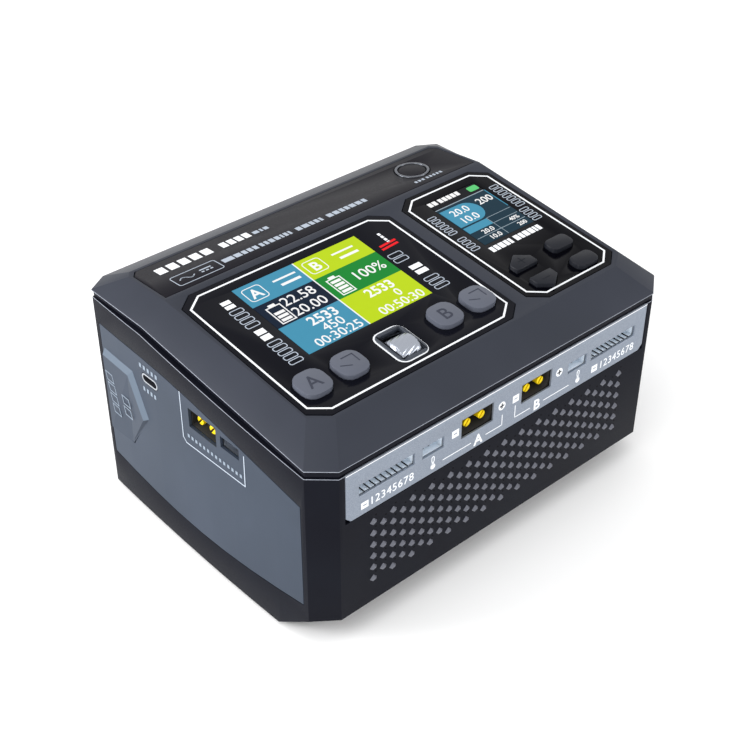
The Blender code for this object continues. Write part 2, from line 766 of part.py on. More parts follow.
def make_panel_board(face):
    """The key board: one switch under each key, and a slot for the roller."""
    green = board_green()
    x0, y0, x1, y1 = KEY_BOARD
    low = (x0, along(y0), -BOARD_TOP - BOARD)
    board = block("control_board", low, (x1, along(y1), -BOARD_TOP), green, face)
    slot = rectangle(*BOARD_SLOT, (WHEEL_PLACE[0], along(WHEEL_PLACE[1])))
    cut(board, prism("board_slot", slot, -20, 5, green, parent=face))
    spots = [(x, along(MAIN_KEY_Y)) for x in MAIN_KEYS.values()]
    spots += [(x, along(depth)) for x, depth in PSU_BARS.values()]
    spots += [(x, along(depth) + way * ARROW_TIP / 2) for x, depth, way in PSU_ARROWS.values()]
    for x, y in spots:
        switch = rectangle(SWITCH_SIDE, SWITCH_SIDE, (x, y))
        reach = (-BOARD_TOP - BOARD / 2, -BOARD_TOP + SWITCH)
        join(board, prism("key_switch", switch, *reach, green, parent=face))


# Ports: each is drawn with its mouth at z = 0 looking along +Z, then turned to face outwards


def keyed_end(opening, corner):
    """A socket opening whose two corners at the right end are cut off."""
    w, h = opening[0] / 2, opening[1] / 2
    return [(-w, -h), (w - corner, -h), (w, -h + corner), (w, h - corner), (w - corner, h), (-w, h)]


def keyed_top(opening, corner):
    """A socket opening whose two top corners are cut off."""
    w, h = opening[0] / 2, opening[1] / 2
    return [(-w, -h), (w, -h), (w, h - corner), (w - corner, h), (-w + corner, h), (-w, h - corner)]


def make_socket(name, opening, inside, facing, place_mm, surface):
    """A box-shaped socket housing, open at its mouth."""
    holder = frame(name + "_axes", place_mm, FACING[facing])
    outside = rectangle(opening[0] + 2 * PORT_WALL, opening[1] + 2 * PORT_WALL)
    body = prism(name, outside, -PORT_DEPTH - PORT_BACK, 0, surface, parent=holder)
    cut(body, prism(name + "_well", inside, -PORT_DEPTH, 5, surface, parent=holder))
    return body, holder


def make_xt_port(name, facing, place_mm):
    """A two-contact battery socket: nylon shell and two split round pins."""
    body, holder = make_socket(
        name, XT_OPENING, keyed_end(XT_OPENING, XT_CORNER), facing, place_mm, port_plastic()
    )
    for sign, side in (("plus", 1), ("minus", -1)):
        x = side * XT_PITCH / 2
        hole = rod(name + "_hole", XT_PIN + 0.15, -30, -PORT_DEPTH + 1, gold(), holder, (x, 0), 16)
        cut(body, hole)
        pin = rod(f"{name}_{sign}_pin", XT_PIN, -PORT_DEPTH - 5, -XT_RECESS, gold(), holder, (x, 0), 16)
        smooth(pin)


def make_header(name, opening, pins, recess, facing, place_mm):
    """A light-bodied signal header with a row of square pins."""
    surface = material("header_grey_nylon", "8f96a3", 0.5)
    body, holder = make_socket(name, opening, rectangle(*opening), facing, place_mm, surface)
    for i in range(pins):
        x = (i - (pins - 1) / 2) * PIN_PITCH
        half = PIN_SIDE / 2
        low = (x - half, -half, -PORT_DEPTH - 3)
        join(body, block(name + "_pin", low, (x + half, half, -recess), surface, holder))
    return body


def make_front_ports():
    mouth = FRONT_Y + STRIP_THICK + GAP
    for name, x in XT_PORTS.items():
        make_xt_port(name, "front", (x, mouth, XT_Z))
    for name, x in HEADERS.items():
        make_header(name, HEADER_OPENING, HEADER_PINS, HEADER_RECESS, "front", (x, mouth, PORT_Z))
    for name, x in PROBES.items():
        make_header(name, SENSE_OPENING, SENSE_PINS, PIN_RECESS, "front", (x, mouth, PORT_Z))


def make_port_strip():
    """The silver plate that frames the front ports, let into the front wall under the rim."""
    x0, z0, x1, z1 = STRIP
    silver = material("strip_silver", "9ba3b0", 0.4, 0.3)
    outline = [(x0 + 2, z0), (x1 - 2, z0), (x1, z0 + 2), (x1, z1), (x0, z1), (x0, z0 + 2)]
    strip = prism("port_strip", outline, FRONT_Y, FRONT_Y + STRIP_THICK, silver, "Y")
    shrink = 2 * (PORT_WALL + GAP) - 0.3
    for x, z, width, height in port_windows():
        window = rectangle(width - shrink, height - shrink, (x, z))
        cut(strip, prism("strip_window", window, FRONT_Y - 5, FRONT_Y + 5, silver, "Y"))
    return strip


def make_side_ports():
    behind = SIDE_PANEL + GAP
    battery_place = (behind - side_place(SIDE_XT[0]), FRONT_Y + SIDE_XT[0], SIDE_XT[1])
    make_xt_port("discharge_socket", "left", battery_place)
    signal_place = (behind - side_place(SIDE_SENSE[0]), FRONT_Y + SIDE_SENSE[0], SIDE_SENSE[1])
    make_header("discharge_signal_socket", SENSE_OPENING, SENSE_PINS, PIN_RECESS, "left", signal_place)
    flush = (-side_place(USB[0]), FRONT_Y + USB[0], USB[1])
    holder = frame("usb_axes", flush, FACING["left"])
    usb = prism("usb_socket", usb_outline(USB_SHELL), -USB_LENGTH, 0, steel(), parent=holder)
    well = prism("usb_well", usb_outline(-USB_INSIDE), -USB_LENGTH + 1.2, 5, steel(), parent=holder)
    cut(usb, well)
    tongue = rectangle(*USB_TONGUE)
    join(usb, prism("usb_tongue", tongue, -USB_LENGTH + 0.6, -1.2, steel(), parent=holder))


def make_back_ports():
    mouth = FRONT_Y + DEPTH - 0.4
    inlet_place = (INLET_PLACE[0], mouth, INLET_PLACE[1])
    outline = keyed_top(INLET_OPENING, INLET_CORNER)
    inlet, holder = make_socket("mains_inlet", INLET_OPENING, outline, "back", inlet_place, port_plastic())
    for x, y in ((-7, -1.5), (0, 2.5), (7, -1.5)):
        low = (x - 1, y - 2, -PORT_DEPTH - 3)
        join(inlet, block("inlet_blade", low, (x + 1, y + 2, -PIN_RECESS), port_plastic(), holder))
    dc_place = (DC_PLACE[0], mouth, DC_PLACE[1])
    outline = keyed_end(XT_OPENING, XT_CORNER)
    dc_input, holder = make_socket("dc_inlet", XT_OPENING, outline, "back", dc_place, port_plastic())
    for x in (-XT_PITCH / 2, XT_PITCH / 2):
        join(dc_input, rod("dc_pin", XT_PIN, -PORT_DEPTH - 3, -XT_RECESS, port_plastic(), holder, (x, 0), 16))


# Inside


def make_fan(side, x):
    """A square fan against the back wall: frame with four struts, and a hub with curved blades."""
    black = port_plastic()
    back = FRONT_Y + DEPTH - LIP_INSET - LIP_WALL - GAP
    holder = frame(f"fan_{side}_frame_axes", (x, back, FAN_Z), FACING["back"])
    body = prism(f"fan_{side}_frame", rounded(FAN, FAN, 3.0), -FAN_THICK, 0, black, parent=holder)
    cut(body, rod("fan_bore", FAN_BORE, -FAN_THICK - 5, 5, black, holder, sides=32))
    for angle in (0, 90):
        turn = Matrix.Rotation(math.radians(45 + angle), 4, "Z")
        low = (-FAN_BORE - 0.6, -STRUT[0] / 2, -FAN_THICK)
        strut = block("fan_strut", low, (FAN_BORE + 0.6, STRUT[0] / 2, -FAN_THICK + STRUT[1]), black, holder)
        strut.data.transform(turn)
        join(body, strut)
    join(body, rod("fan_motor_seat", FAN_HUB, -FAN_THICK, -FAN_THICK + STRUT[1], black, holder, sides=24))

    grey = material("fan_rotor_black", "222327", 0.5)
    rotor = rod(f"fan_{side}_rotor", FAN_HUB, -FAN_THICK + 1.8, -1.5, grey, holder, sides=24)
    for i in range(FAN_BLADES):
        join(rotor, fan_blade(i, grey, holder))
    return smooth(rotor)


def fan_blade(number, surface, holder):
    """One blade, swept round the hub as it climbs."""
    bm = bmesh.new()
    rows = []
    steps = 3
    for i in range(steps + 1):
        t = i / steps
        height = -FAN_THICK + 3 + t * (FAN_THICK - 5.5)
        angle = 2 * math.pi * number / FAN_BLADES + math.radians(38) * t
        for radius in (FAN_HUB - 1, FAN_BORE - 1):
            for side in (-0.6, 0.6):
                point = Matrix.Rotation(angle, 3, "Z") @ Vector((radius, side, height))
                rows.append(bm.verts.new(point))
    for i in range(steps):
        a, b = rows[4 * i : 4 * i + 4], rows[4 * i + 4 : 4 * i + 8]
        for p, q in ((0, 2), (2, 3), (3, 1), (1, 0)):
            bm.faces.new((a[p], a[q], b[q], b[p]))
    for end in (rows[:4], rows[-4:]):
        bm.faces.new((end[0], end[1], end[3], end[2]))
    bmesh.ops.triangulate(bm, faces=bm.faces)
    return finish("fan_blade", bm, surface, holder)


def make_main_board():
    x0, y0, x1, y1 = MAIN_BOARD
    top = MAIN_BOARD_Z + BOARD
    block("power_board", (x0, FRONT_Y + y0, MAIN_BOARD_Z), (x1, FRONT_Y + y1, top), board_green())
    make_heatsink(top)
    x0, y0, x1, y1 = TRANSFORMER
    core = material("ferrite_core", "3b3a3c", 0.6)
    high = (x1, FRONT_Y + y1, top + TRANSFORMER_HEIGHT)
    block("transformer", (x0, FRONT_Y + y0, top + GAP), high, core)
    sleeve = material("capacitor_sleeve", "1c2b4a", 0.35)
    x, depth, radius, height = CAPACITOR
    can = rod("bulk_capacitor", radius, top + GAP, top + height, sleeve, None, (x, FRONT_Y + depth), 28)
    smooth(soften(can, 0.8))
    choke = material("choke_copper", "8a4a22", 0.4, 0.7)
    x, depth, radius, height = CHOKE
    coil = rod("output_choke", radius, top + GAP, top + height, choke, None, (x, FRONT_Y + depth), 24)
    cut(coil, rod("choke_hole", CHOKE_HOLE, 0, 60, choke, None, (x, FRONT_Y + depth), 16))


def make_heatsink(top):
    """A finned block on the board: one base and a row of upright fins."""
    bright = material("heatsink_aluminium", "a7acb3", 0.35, 1.0)
    x0, y0, x1, y1 = HEATSINK
    sink = block("heatsink", (x0, FRONT_Y + y0, top + GAP), (x1, FRONT_Y + y1, top + HEATSINK_BASE), bright)
    for i in range(FINS):
        x = x0 + i * (x1 - x0 - FIN) / (FINS - 1)
        low = (x, FRONT_Y + y0, top + HEATSINK_BASE - 1.0)
        join(sink, block("fin", low, (x + FIN, FRONT_Y + y1, FIN_TOP), bright))


def make_feet_and_screws():
    rubber = material("foot_rubber", "17181b", 0.85)
    for i, (x, depth) in enumerate(FOOT_PLACES, 1):
        foot = rod(f"foot_{i}", FOOT_RADIUS, -FOOT_PROUD, POCKET_DEPTH - GAP, rubber, sides=20)
        smooth(place(foot, x, FRONT_Y + depth, 0))
    for i, (x, depth) in enumerate(SCREW_PLACES, 1):
        screw = rod(f"case_screw_{i}", SCREW_RADIUS, 0.2, SCREW_DEPTH - GAP, steel(), sides=16)
        slot = block(f"screw_slot_{i}", (-0.5, -1.9, -1), (0.5, 1.9, 0.8), steel())
        cut(screw, place(slot, x, FRONT_Y + depth, 0))
        smooth(place(screw, x, FRONT_Y + depth, 0))


def stand_on_feet():
    """Lift everything so that the soles of the feet are at z = 0."""
    for obj in bpy.data.objects:
        if obj.parent is None:
            obj.location.z += FOOT_PROUD * MM


def build():
    clear_scene()
    face = frame("face_axes", (0, FRONT_Y, FACE_Z), (math.atan(FACE_SLOPE), 0, 0))
    deck_start = (0, FRONT_Y + DECK_EDGE, face_height(DECK_EDGE))
    deck = frame("deck_axes", deck_start, (math.atan(DECK_SLOPE), 0, 0))
    make_lower_case()
    make_side_panel("side_panel_left", -1)
    make_side_panel("side_panel_right", 1)
    make_port_strip()
    make_top_cover(face, deck)
    make_deck_plate(deck)
    make_power_switch(deck)
    main_panel = make_panel("main_panel", MAIN_PANEL, MAIN_SCREEN, face)
    psu_panel = make_panel("supply_panel", PSU_PANEL, PSU_SCREEN, face)
    make_screen("main_display", MAIN_SCREEN, face)
    make_screen("supply_display", PSU_SCREEN, face)
    make_main_keys(main_panel, face)
    make_psu_keys(psu_panel, face)
    make_wheel(main_panel, face)
    make_panel_board(face)
    make_front_ports()
    make_side_ports()
    make_back_ports()
    for side, x in FAN_PLACES.items():
        make_fan(side, x)
    make_main_board()
    make_feet_and_screws()
    stand_on_feet()


build()
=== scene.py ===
"""Looks of a dual-channel balance battery charger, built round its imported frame.

The sections follow the charger as it is put together: case, vent, feet, side plates, front
strip, sockets, cover, rear deck, control panels, displays, keys, roller, back, then the studio.
Lengths are in metres; MM turns millimetres into them.
"""

import math

import bmesh
import bpy
from mathutils import Matrix, Vector


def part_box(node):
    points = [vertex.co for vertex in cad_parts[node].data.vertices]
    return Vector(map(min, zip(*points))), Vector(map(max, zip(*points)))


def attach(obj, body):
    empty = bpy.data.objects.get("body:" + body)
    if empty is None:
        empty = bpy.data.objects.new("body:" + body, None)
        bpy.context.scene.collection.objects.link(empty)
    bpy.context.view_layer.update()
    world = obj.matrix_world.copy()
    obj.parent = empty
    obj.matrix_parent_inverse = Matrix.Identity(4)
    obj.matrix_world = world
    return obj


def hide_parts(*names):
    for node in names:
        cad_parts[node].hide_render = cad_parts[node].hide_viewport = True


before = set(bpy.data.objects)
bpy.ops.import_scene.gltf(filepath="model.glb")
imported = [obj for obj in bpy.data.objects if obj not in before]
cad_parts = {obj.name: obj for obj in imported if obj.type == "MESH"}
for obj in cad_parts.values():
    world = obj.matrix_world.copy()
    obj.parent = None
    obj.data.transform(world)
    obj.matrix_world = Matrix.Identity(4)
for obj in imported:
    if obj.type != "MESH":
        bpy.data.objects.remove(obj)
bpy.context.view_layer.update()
MM = 0.001
CHARGER = "charger"


# ----------------------------------------------------------
# Lower case: an injection-moulded tub of black ABS with a fine spark-eroded grain. The mould
# rounds its edges by about a millimetre. A thin lip inside the rim takes the cover.


def linear(hex_colour):
    """An sRGB hex colour as linear RGBA."""
    parts = [int(hex_colour[i : i + 2], 16) / 255 for i in (0, 2, 4)]
    return [c / 12.92 if c <= 0.04045 else ((c + 0.055) / 1.055) ** 2.4 for c in parts] + [1.0]


def add_node(tree, kind, settings=(), links=()):
    """Add a node; settings are (name or input, value), links are (socket, input)."""
    node = tree.nodes.new(kind)
    for key, value in settings:
        if hasattr(node, str(key)):
            setattr(node, key, value)
        else:
            node.inputs[key].default_value = value
    for source, key in links:
        tree.links.new(source, node.inputs[key])
    return node


def new_material(name, hex_colour, roughness, **sockets):
    """A Principled material: uniform values go straight on the shader's own sockets."""
    made = bpy.data.materials.new(name)
    made.use_nodes = True
    shader = made.node_tree.nodes["Principled BSDF"]
    shader.inputs["Base Color"].default_value = linear(hex_colour)
    shader.inputs["Roughness"].default_value = roughness
    shader.inputs["Specular IOR Level"].default_value = 0.08
    for key, value in sockets.items():
        shader.inputs[key.replace("_", " ")].default_value = value
    return made, made.node_tree, shader


def moulded_abs(name, tones, spread, flow, pits, gloss, strength, deep, **sockets):
    """Moulded ABS: the colour drifts over a few centimetres, where the melt flowed, and a grain of
    fine pits scatters the highlight. Flow patches and pits are counted to the metre."""
    made, tree, shader = new_material(name, tones[0], sum(gloss) / 2, IOR=1.53, **sockets)
    place = add_node(tree, "ShaderNodeTexCoord")
    drift = add_node(tree, "ShaderNodeTexNoise", [("Scale", flow), ("Detail", 2.0)],
                     [(place.outputs["Object"], "Vector")])
    tint = add_node(tree, "ShaderNodeValToRGB", [], [(drift.outputs["Fac"], "Fac")])
    for element, position, tone in zip(tint.color_ramp.elements, spread, tones):
        element.position = position
        element.color = linear(tone)
    tree.links.new(tint.outputs["Color"], shader.inputs["Base Color"])
    grain = add_node(tree, "ShaderNodeTexNoise", [("Scale", pits), ("Detail", 3.0)],
                     [(place.outputs["Object"], "Vector")])
    sheen = add_node(tree, "ShaderNodeMapRange",
                     [("From Min", 0.3), ("From Max", 0.7), ("To Min", gloss[0]), ("To Max", gloss[1])],
                     [(grain.outputs["Fac"], "Value")])
    tree.links.new(sheen.outputs["Result"], shader.inputs["Roughness"])
    bump = add_node(tree, "ShaderNodeBump", [("Strength", strength), ("Distance", deep)],
                    [(grain.outputs["Fac"], "Height")])
    tree.links.new(bump.outputs["Normal"], shader.inputs["Normal"])
    return made


# Near black with a cold tinge; pits 0.4 mm apart turn a highlight into a soft bloom.
case_abs = moulded_abs("moulded_black_abs", ("101119", "12141c"), (0.35, 0.7), 45.0, 2600.0, (0.36, 0.5),
                       0.25, 0.00006, Specular_IOR_Level=0.05)


def deselect():
    for obj in bpy.context.selected_objects:
        obj.select_set(False)


def make_active(obj):
    deselect()
    obj.select_set(True)
    bpy.context.view_layer.objects.active = obj
    return obj


def settle(obj, name, surface, body=CHARGER):
    """Put a finished piece's place into its mesh, give it its material and its body."""
    make_active(obj)
    bpy.ops.object.transform_apply(location=True, rotation=True, scale=True)
    obj.name = name
    obj.data.name = name
    if surface is not None:
        obj.data.materials.clear()
        obj.data.materials.append(surface)
    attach(obj, body)
    return obj


def apply_modifiers(obj):
    make_active(obj)
    for modifier in list(obj.modifiers):
        bpy.ops.object.modifier_apply(modifier=modifier.name)


def merged_copy(node):
    """A CAD node's mesh as a new object, its triangles merged and its flat faces made whole."""
    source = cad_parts[node]
    obj = bpy.data.objects.new(node + "_shown", source.data.copy())
    bpy.context.scene.collection.objects.link(obj)
    make_active(obj)
    bpy.ops.object.mode_set(mode="EDIT")
    bpy.ops.mesh.select_all(action="SELECT")
    bpy.ops.mesh.remove_doubles(threshold=0.00002)
    bpy.ops.mesh.dissolve_limited(angle_limit=math.radians(0.6))
    bpy.ops.object.mode_set(mode="OBJECT")
    return obj


def round_edges(obj, width, segments=3, limit=28):
    """Round the sharp edges, as a mould leaves them, and smooth the shading."""
    bevel = obj.modifiers.new("round", "BEVEL")
    bevel.width = width
    bevel.segments = segments
    bevel.limit_method = "ANGLE"
    bevel.angle_limit = math.radians(limit)
    bevel.harden_normals = False
    apply_modifiers(obj)
    bpy.ops.object.shade_smooth_by_angle(angle=math.radians(30))
    return obj


def stand_for(node, width, surface, body=CHARGER, segments=3, limit=28):
    """Replace a CAD node by a copy with rounded edges."""
    obj = round_edges(merged_copy(node), width, segments, limit)
    settle(obj, node + "_shown", surface, body)
    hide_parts(node)
    return obj


stand_for("lower_case", 0.7 * MM, case_abs)

# ----------------------------------------------------------
# Front intake grille: columns of small three-sided studs moulded on the front wall, every
# second column half a step lower, each with a black disc above its shoulder, painted shade for an air hole.

FRONT_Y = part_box("lower_case")[0].y
LIFT = 1.2 * MM
STUD_COLUMNS = 29
STUD_PITCH_X = 4.643 * MM
STUD_PITCH_Z = 5.4 * MM
STUD_FIRST = (-65.4 * MM, 23.6 * MM + LIFT)
STUD_HALF = 1.62 * MM
STUD_PROUD = 1.0 * MM


def broken_gloss(name, hex_colour, per_metre, smooth, rough, detail=2.0, **sockets):
    """One colour, its gloss broken up by a fine grain, with so many grains to the metre."""
    made, tree, shader = new_material(name, hex_colour, (smooth + rough) / 2, **sockets)
    place = add_node(tree, "ShaderNodeTexCoord")
    grain = add_node(tree, "ShaderNodeTexNoise", [("Scale", per_metre), ("Detail", detail)],
                     [(place.outputs["Object"], "Vector")])
    gloss = add_node(tree, "ShaderNodeMapRange", [("To Min", smooth), ("To Max", rough)],
                     [(grain.outputs["Fac"], "Value")])
    tree.links.new(gloss.outputs["Result"], shader.inputs["Roughness"])
    return made


# The studs' faces are the wall's black plastic painted paler, a painted highlight for the light their faces
# catch, and a little glossier than the grained wall.
stud_painted_highlight_abs = broken_gloss("black_abs_painted_highlight", "5a5c66", 700.0, 0.3, 0.46, IOR=1.53, Specular_IOR_Level=0.5)

# No hole is cut: a matt black disc stands in each place as the painted shade of an air hole, with faint rings
# in its gloss.
hole_painted_shade = broken_gloss("hole_painted_shade_black", "08080b", 3000.0, 0.7, 0.95)


def stud_places():
    for column in range(STUD_COLUMNS):
        x = STUD_FIRST[0] + column * STUD_PITCH_X
        odd = column % 2
        for row in range(5 if odd else 6):
            yield x, STUD_FIRST[1] + (row + odd / 2) * STUD_PITCH_Z


def joined(pieces):
    """One object from several, under the first one's name."""
    make_active(pieces[0])
    for piece in pieces:
        piece.select_set(True)
    if len(pieces) > 1:
        bpy.ops.object.join()
    return pieces[0]


def join_copies(first, places, name, surface):
    """Copy a small piece to each place and join the copies into one object."""
    copies = []
    for offset in places:
        copy = first.copy()
        copy.data = first.data.copy()
        bpy.context.scene.collection.objects.link(copy)
        copy.location = Vector(first.location) + Vector(offset)
        copies.append(copy)
    bpy.data.objects.remove(first)
    return settle(joined(copies), name, surface)


def chamfer_all(obj, width, segments):
    """Take the sharpness off every edge of a small piece."""
    make_active(obj)
    bpy.ops.object.mode_set(mode="EDIT")
    bpy.ops.mesh.select_all(action="SELECT")
    bpy.ops.mesh.bevel(offset=width, segments=segments)
    bpy.ops.object.mode_set(mode="OBJECT")


bpy.ops.mesh.primitive_cone_add(vertices=4, radius1=STUD_HALF * 1.25, radius2=0.25 * MM,
                                depth=STUD_PROUD + 0.3 * MM)
stud = bpy.context.object
chamfer_all(stud, 0.12 * MM, 1)
for vertex in stud.data.vertices:
    if vertex.co.z > 0:
        vertex.co.x += 0.35 * MM
        vertex.co.y += 0.45 * MM
stud.rotation_euler = (math.pi / 2, 0, 0)
make_active(stud)
bpy.ops.object.transform_apply(location=False, rotation=True, scale=True)
stud.location = (0, FRONT_Y - STUD_PROUD / 2 + 0.1 * MM, 0)
join_copies(stud, [(x, 0, z) for x, z in stud_places()], "intake_studs", stud_painted_highlight_abs)

bpy.ops.mesh.primitive_cylinder_add(vertices=12, radius=0.42 * MM, depth=0.4 * MM,
                                    rotation=(math.pi / 2, 0, 0))
hole = bpy.context.object
chamfer_all(hole, 0.06 * MM, 1)
bpy.ops.object.transform_apply(location=False, rotation=True, scale=True)
hole.location = (1.2 * MM, FRONT_Y + 0.17 * MM, 2.7 * MM)
join_copies(hole, [(x, 0, z) for x, z in stud_places()], "intake_hole_painted_shade", hole_painted_shade)

# ----------------------------------------------------------
# Feet and case screws: four rubber pads pressed into pockets of the floor, and four zinc-plated
# slotted screws that hold the case together from below.


def mottled(name, dark, light, roughness, per_metre, detail=2.0, spread=(0.0, 1.0), **sockets):
    """A colour that drifts between two tones, with so many patches to the metre."""
    made, tree, shader = new_material(name, light, roughness, **sockets)
    place = add_node(tree, "ShaderNodeTexCoord")
    patch = add_node(tree, "ShaderNodeTexNoise", [("Scale", per_metre), ("Detail", detail)],
                     [(place.outputs["Object"], "Vector")])
    tone = add_node(tree, "ShaderNodeValToRGB", [], [(patch.outputs["Fac"], "Fac")])
    for element, position, shade in zip(tone.color_ramp.elements, spread, (dark, light)):
        element.position = position
        element.color = linear(shade)
    tree.links.new(tone.outputs["Color"], shader.inputs["Base Color"])
    return made


# Pressed rubber: matt, greyed here and there by dust in its pores.
rubber = mottled("pressed_foot_rubber", "131417", "202126", 0.85, 900.0, detail=4.0, IOR=1.52)

# Zinc plate: bright, with a fine cloudiness from the bath.
zinc = broken_gloss("zinc_plated_steel", "b4b8bf", 1800.0, 0.22, 0.42, detail=3.0, Metallic=1.0)

for number in range(1, 5):
    stand_for(f"foot_{number}", 0.35 * MM, rubber)
    stand_for(f"case_screw_{number}", 0.15 * MM, zinc, segments=2)

# ----------------------------------------------------------
# Side plates: blue-grey ABS inlays that fill a recess of each side. Towards the back a flat
# boss stands proud behind a chevron edge painted paler, a painted highlight.

# Slate blue, with the same pits at one even gloss, so that the inlay looks flatter than the tub.
side_abs = moulded_abs("moulded_blue_grey_abs", ("333b47", "39414e"), (0.3, 0.75), 30.0, 2600.0, (0.4, 0.4),
                       0.2, 0.00005)

# The chevron's edges are the same plastic painted paler, a painted highlight for the light they catch.
chevron_painted_highlight_abs = broken_gloss("blue_grey_abs_painted_highlight", "5d6875", 900.0, 0.24, 0.38, IOR=1.53)

BOSS_PROUD = 1.25
BOSS_FACE = ((101.1, 49.4), (109.0, 66.2), (126.9, 66.2), (126.9, 31.2), (113.0, 31.6))
BOSS_FOOT = ((98.7, 50.6), (107.0, 68.8), (126.9, 68.8), (126.9, 31.0), (112.6, 31.2))
BOSS_RISE = ((BOSS_PROUD,) * 4 + (0.02,), (0.0,) * 5, (-0.8,) * 5)  # the lower front corner runs out
SIDE_HALF, SIDE_BOW = 89.7, 1.4
SIDE_FRONT, SIDE_BACK = 7.1, 131.2


def side_bulge(depth):
    """How far the side stands from the middle, in millimetres, at a depth behind the front."""
    t = (depth - SIDE_FRONT) / (SIDE_BACK - SIDE_FRONT)
    return SIDE_HALF + SIDE_BOW * (1 - (2 * t - 1) ** 2)


def built_object(build, name):
    """What was built, as an object, its faces turned outwards."""
    bmesh.ops.recalc_face_normals(build, faces=build.faces)
    mesh = bpy.data.meshes.new(name)
    build.to_mesh(mesh)
    build.free()
    obj = bpy.data.objects.new(name, mesh)
    bpy.context.scene.collection.objects.link(obj)
    return obj


def side_boss(name, side):
    """The raised face and the sloping edges round it, closed behind inside the plate."""
    build = bmesh.new()
    rings = []
    for outline, rise in zip((BOSS_FACE, BOSS_FOOT, BOSS_FOOT), BOSS_RISE):
        rings.append([
            build.verts.new((side * (side_bulge(d) + proud) * MM, FRONT_Y + d * MM, z * MM + LIFT))
            for (d, z), proud in zip(outline, rise)
        ])
    build.faces.new(rings[0])
    build.faces.new(rings[2][::-1])
    slopes = []
    for upper, lower in zip(rings, rings[1:]):
        for i in range(len(upper)):
            j = (i + 1) % len(upper)
            slopes.append(build.faces.new((upper[i], lower[i], lower[j], upper[j])))
    for face in slopes[:2]:  # the two edges of the chevron carry the painted highlight
        face.material_index = 1
    obj = built_object(build, name)
    obj.data.materials.append(side_abs)
    obj.data.materials.append(chevron_painted_highlight_abs)
    return settle(obj, name, None)


for side, sign in (("left", -1), ("right", 1)):
    plate = merged_copy(f"side_panel_{side}")
    for vertex in plate.data.vertices:
        depth = (vertex.co.y - FRONT_Y) / MM
        proud = abs(vertex.co.x) / MM - side_bulge(depth)
        if proud > 0.5 and depth > 98:
            vertex.co.x -= sign * (proud + 0.4) * MM
    round_edges(plate, 0.3 * MM, 1)
    bpy.ops.object.shade_flat()
    settle(plate, f"side_panel_{side}_shown", side_abs)
    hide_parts(f"side_panel_{side}")
    side_boss(f"side_{side}_boss", sign)

# ----------------------------------------------------------
# Printing: a thin layer of white ink on the panels. Each mark is a flat shape a few hundredths
# of a millimetre thick, laid on its surface. The lettering is only digits, signs and the two
# channel letters.

# Screen ink: matt, with the faint tone that the printing mesh leaves every quarter millimetre.
white_ink = mottled("white_screen_ink", "dfe3e8", "f8fafc", 0.45, 4000.0)
grey_ink = mottled("pale_grey_screen_ink", "9aa3b1", "b6bfca", 0.45, 4000.0)
soft_ink = mottled("soft_grey_screen_ink", "76818e", "8b96a3", 0.45, 4000.0)

INK = 0.05 * MM
SUNK = -0.01 * MM  # the underside of the ink lies just under the surface
FONT_PER_HEIGHT = 1.38  # font size that gives figures one unit tall
FRONT_PLANE = Matrix.Translation((0, FRONT_Y, LIFT)) @ Matrix.Rotation(math.pi / 2, 4, "X")


def flat_piece(name, loops, plane, low, high, surface, body=CHARGER, holes=()):
    """Flat shapes, each an outline of (x, y) millimetres on a plane, raised between two heights."""
    build = bmesh.new()
    for outline in loops:
        corners = [build.verts.new((x * MM, y * MM, low)) for x, y in outline]
        build.faces.new(corners)
    for outer, inner in holes:
        a = [build.verts.new((x * MM, y * MM, low)) for x, y in outer]
        b = [build.verts.new((x * MM, y * MM, low)) for x, y in inner]
        for i in range(len(a)):
            j = (i + 1) % len(a)
            build.faces.new((a[i], a[j], b[j], b[i]))
    faces = list(build.faces)
    raised = bmesh.ops.extrude_face_region(build, geom=faces)["geom"]
    top = [v for v in raised if isinstance(v, bmesh.types.BMVert)]
    bmesh.ops.translate(build, vec=(0, 0, high - low), verts=top)
    obj = built_object(build, name)
    obj.matrix_world = plane
    return settle(obj, name, surface, body)


def bar(x0, y0, x1, y1, width):
    """A straight stroke between two points, as an outline."""
    along = Vector((x1 - x0, y1 - y0)).normalized() * width / 2
    across = Vector((-along.y, along.x))
    a, b = Vector((x0, y0)), Vector((x1, y1))
    return [tuple(a - along - across), tuple(b + along - across), tuple(b + along + across),
            tuple(a - along + across)]


def block(x0, y0, x1, y1):
    """A plain rectangle, as an outline."""
    return [(x0, y0), (x1, y0), (x1, y1), (x0, y1)]


def ring_between(outline, shrink):
    """An outline and the same one drawn in by a margin, for a frame of even width."""
    inner = []
    count = len(outline)
    for i, corner in enumerate(outline):
        here = Vector(corner)
        before = (here - Vector(outline[i - 1])).normalized()
        after = (Vector(outline[(i + 1) % count]) - here).normalized()
        normal = Vector((-(before.y + after.y), before.x + after.x))
        cosine = max(0.3, Vector((-before.y, before.x)).dot(normal.normalized()))
        inner.append(tuple(here + normal.normalized() * shrink / cosine))
    return outline, inner


def rounded_box(x0, y0, x1, y1, radius, steps=5):
    points = []
    for i, (cx, cy) in enumerate([(x1 - radius, y0 + radius), (x1 - radius, y1 - radius),
                                  (x0 + radius, y1 - radius), (x0 + radius, y0 + radius)]):
        for k in range(steps + 1):
            angle = math.radians(-90 + 90 * i + 90 * k / steps)
            points.append((cx + radius * math.cos(angle), cy + radius * math.sin(angle)))
    return points


def disc(cx, cy, radius, steps=20):
    return [(cx + radius * math.cos(2 * math.pi * k / steps),
             cy + radius * math.sin(2 * math.pi * k / steps))
            for k in range(steps)]


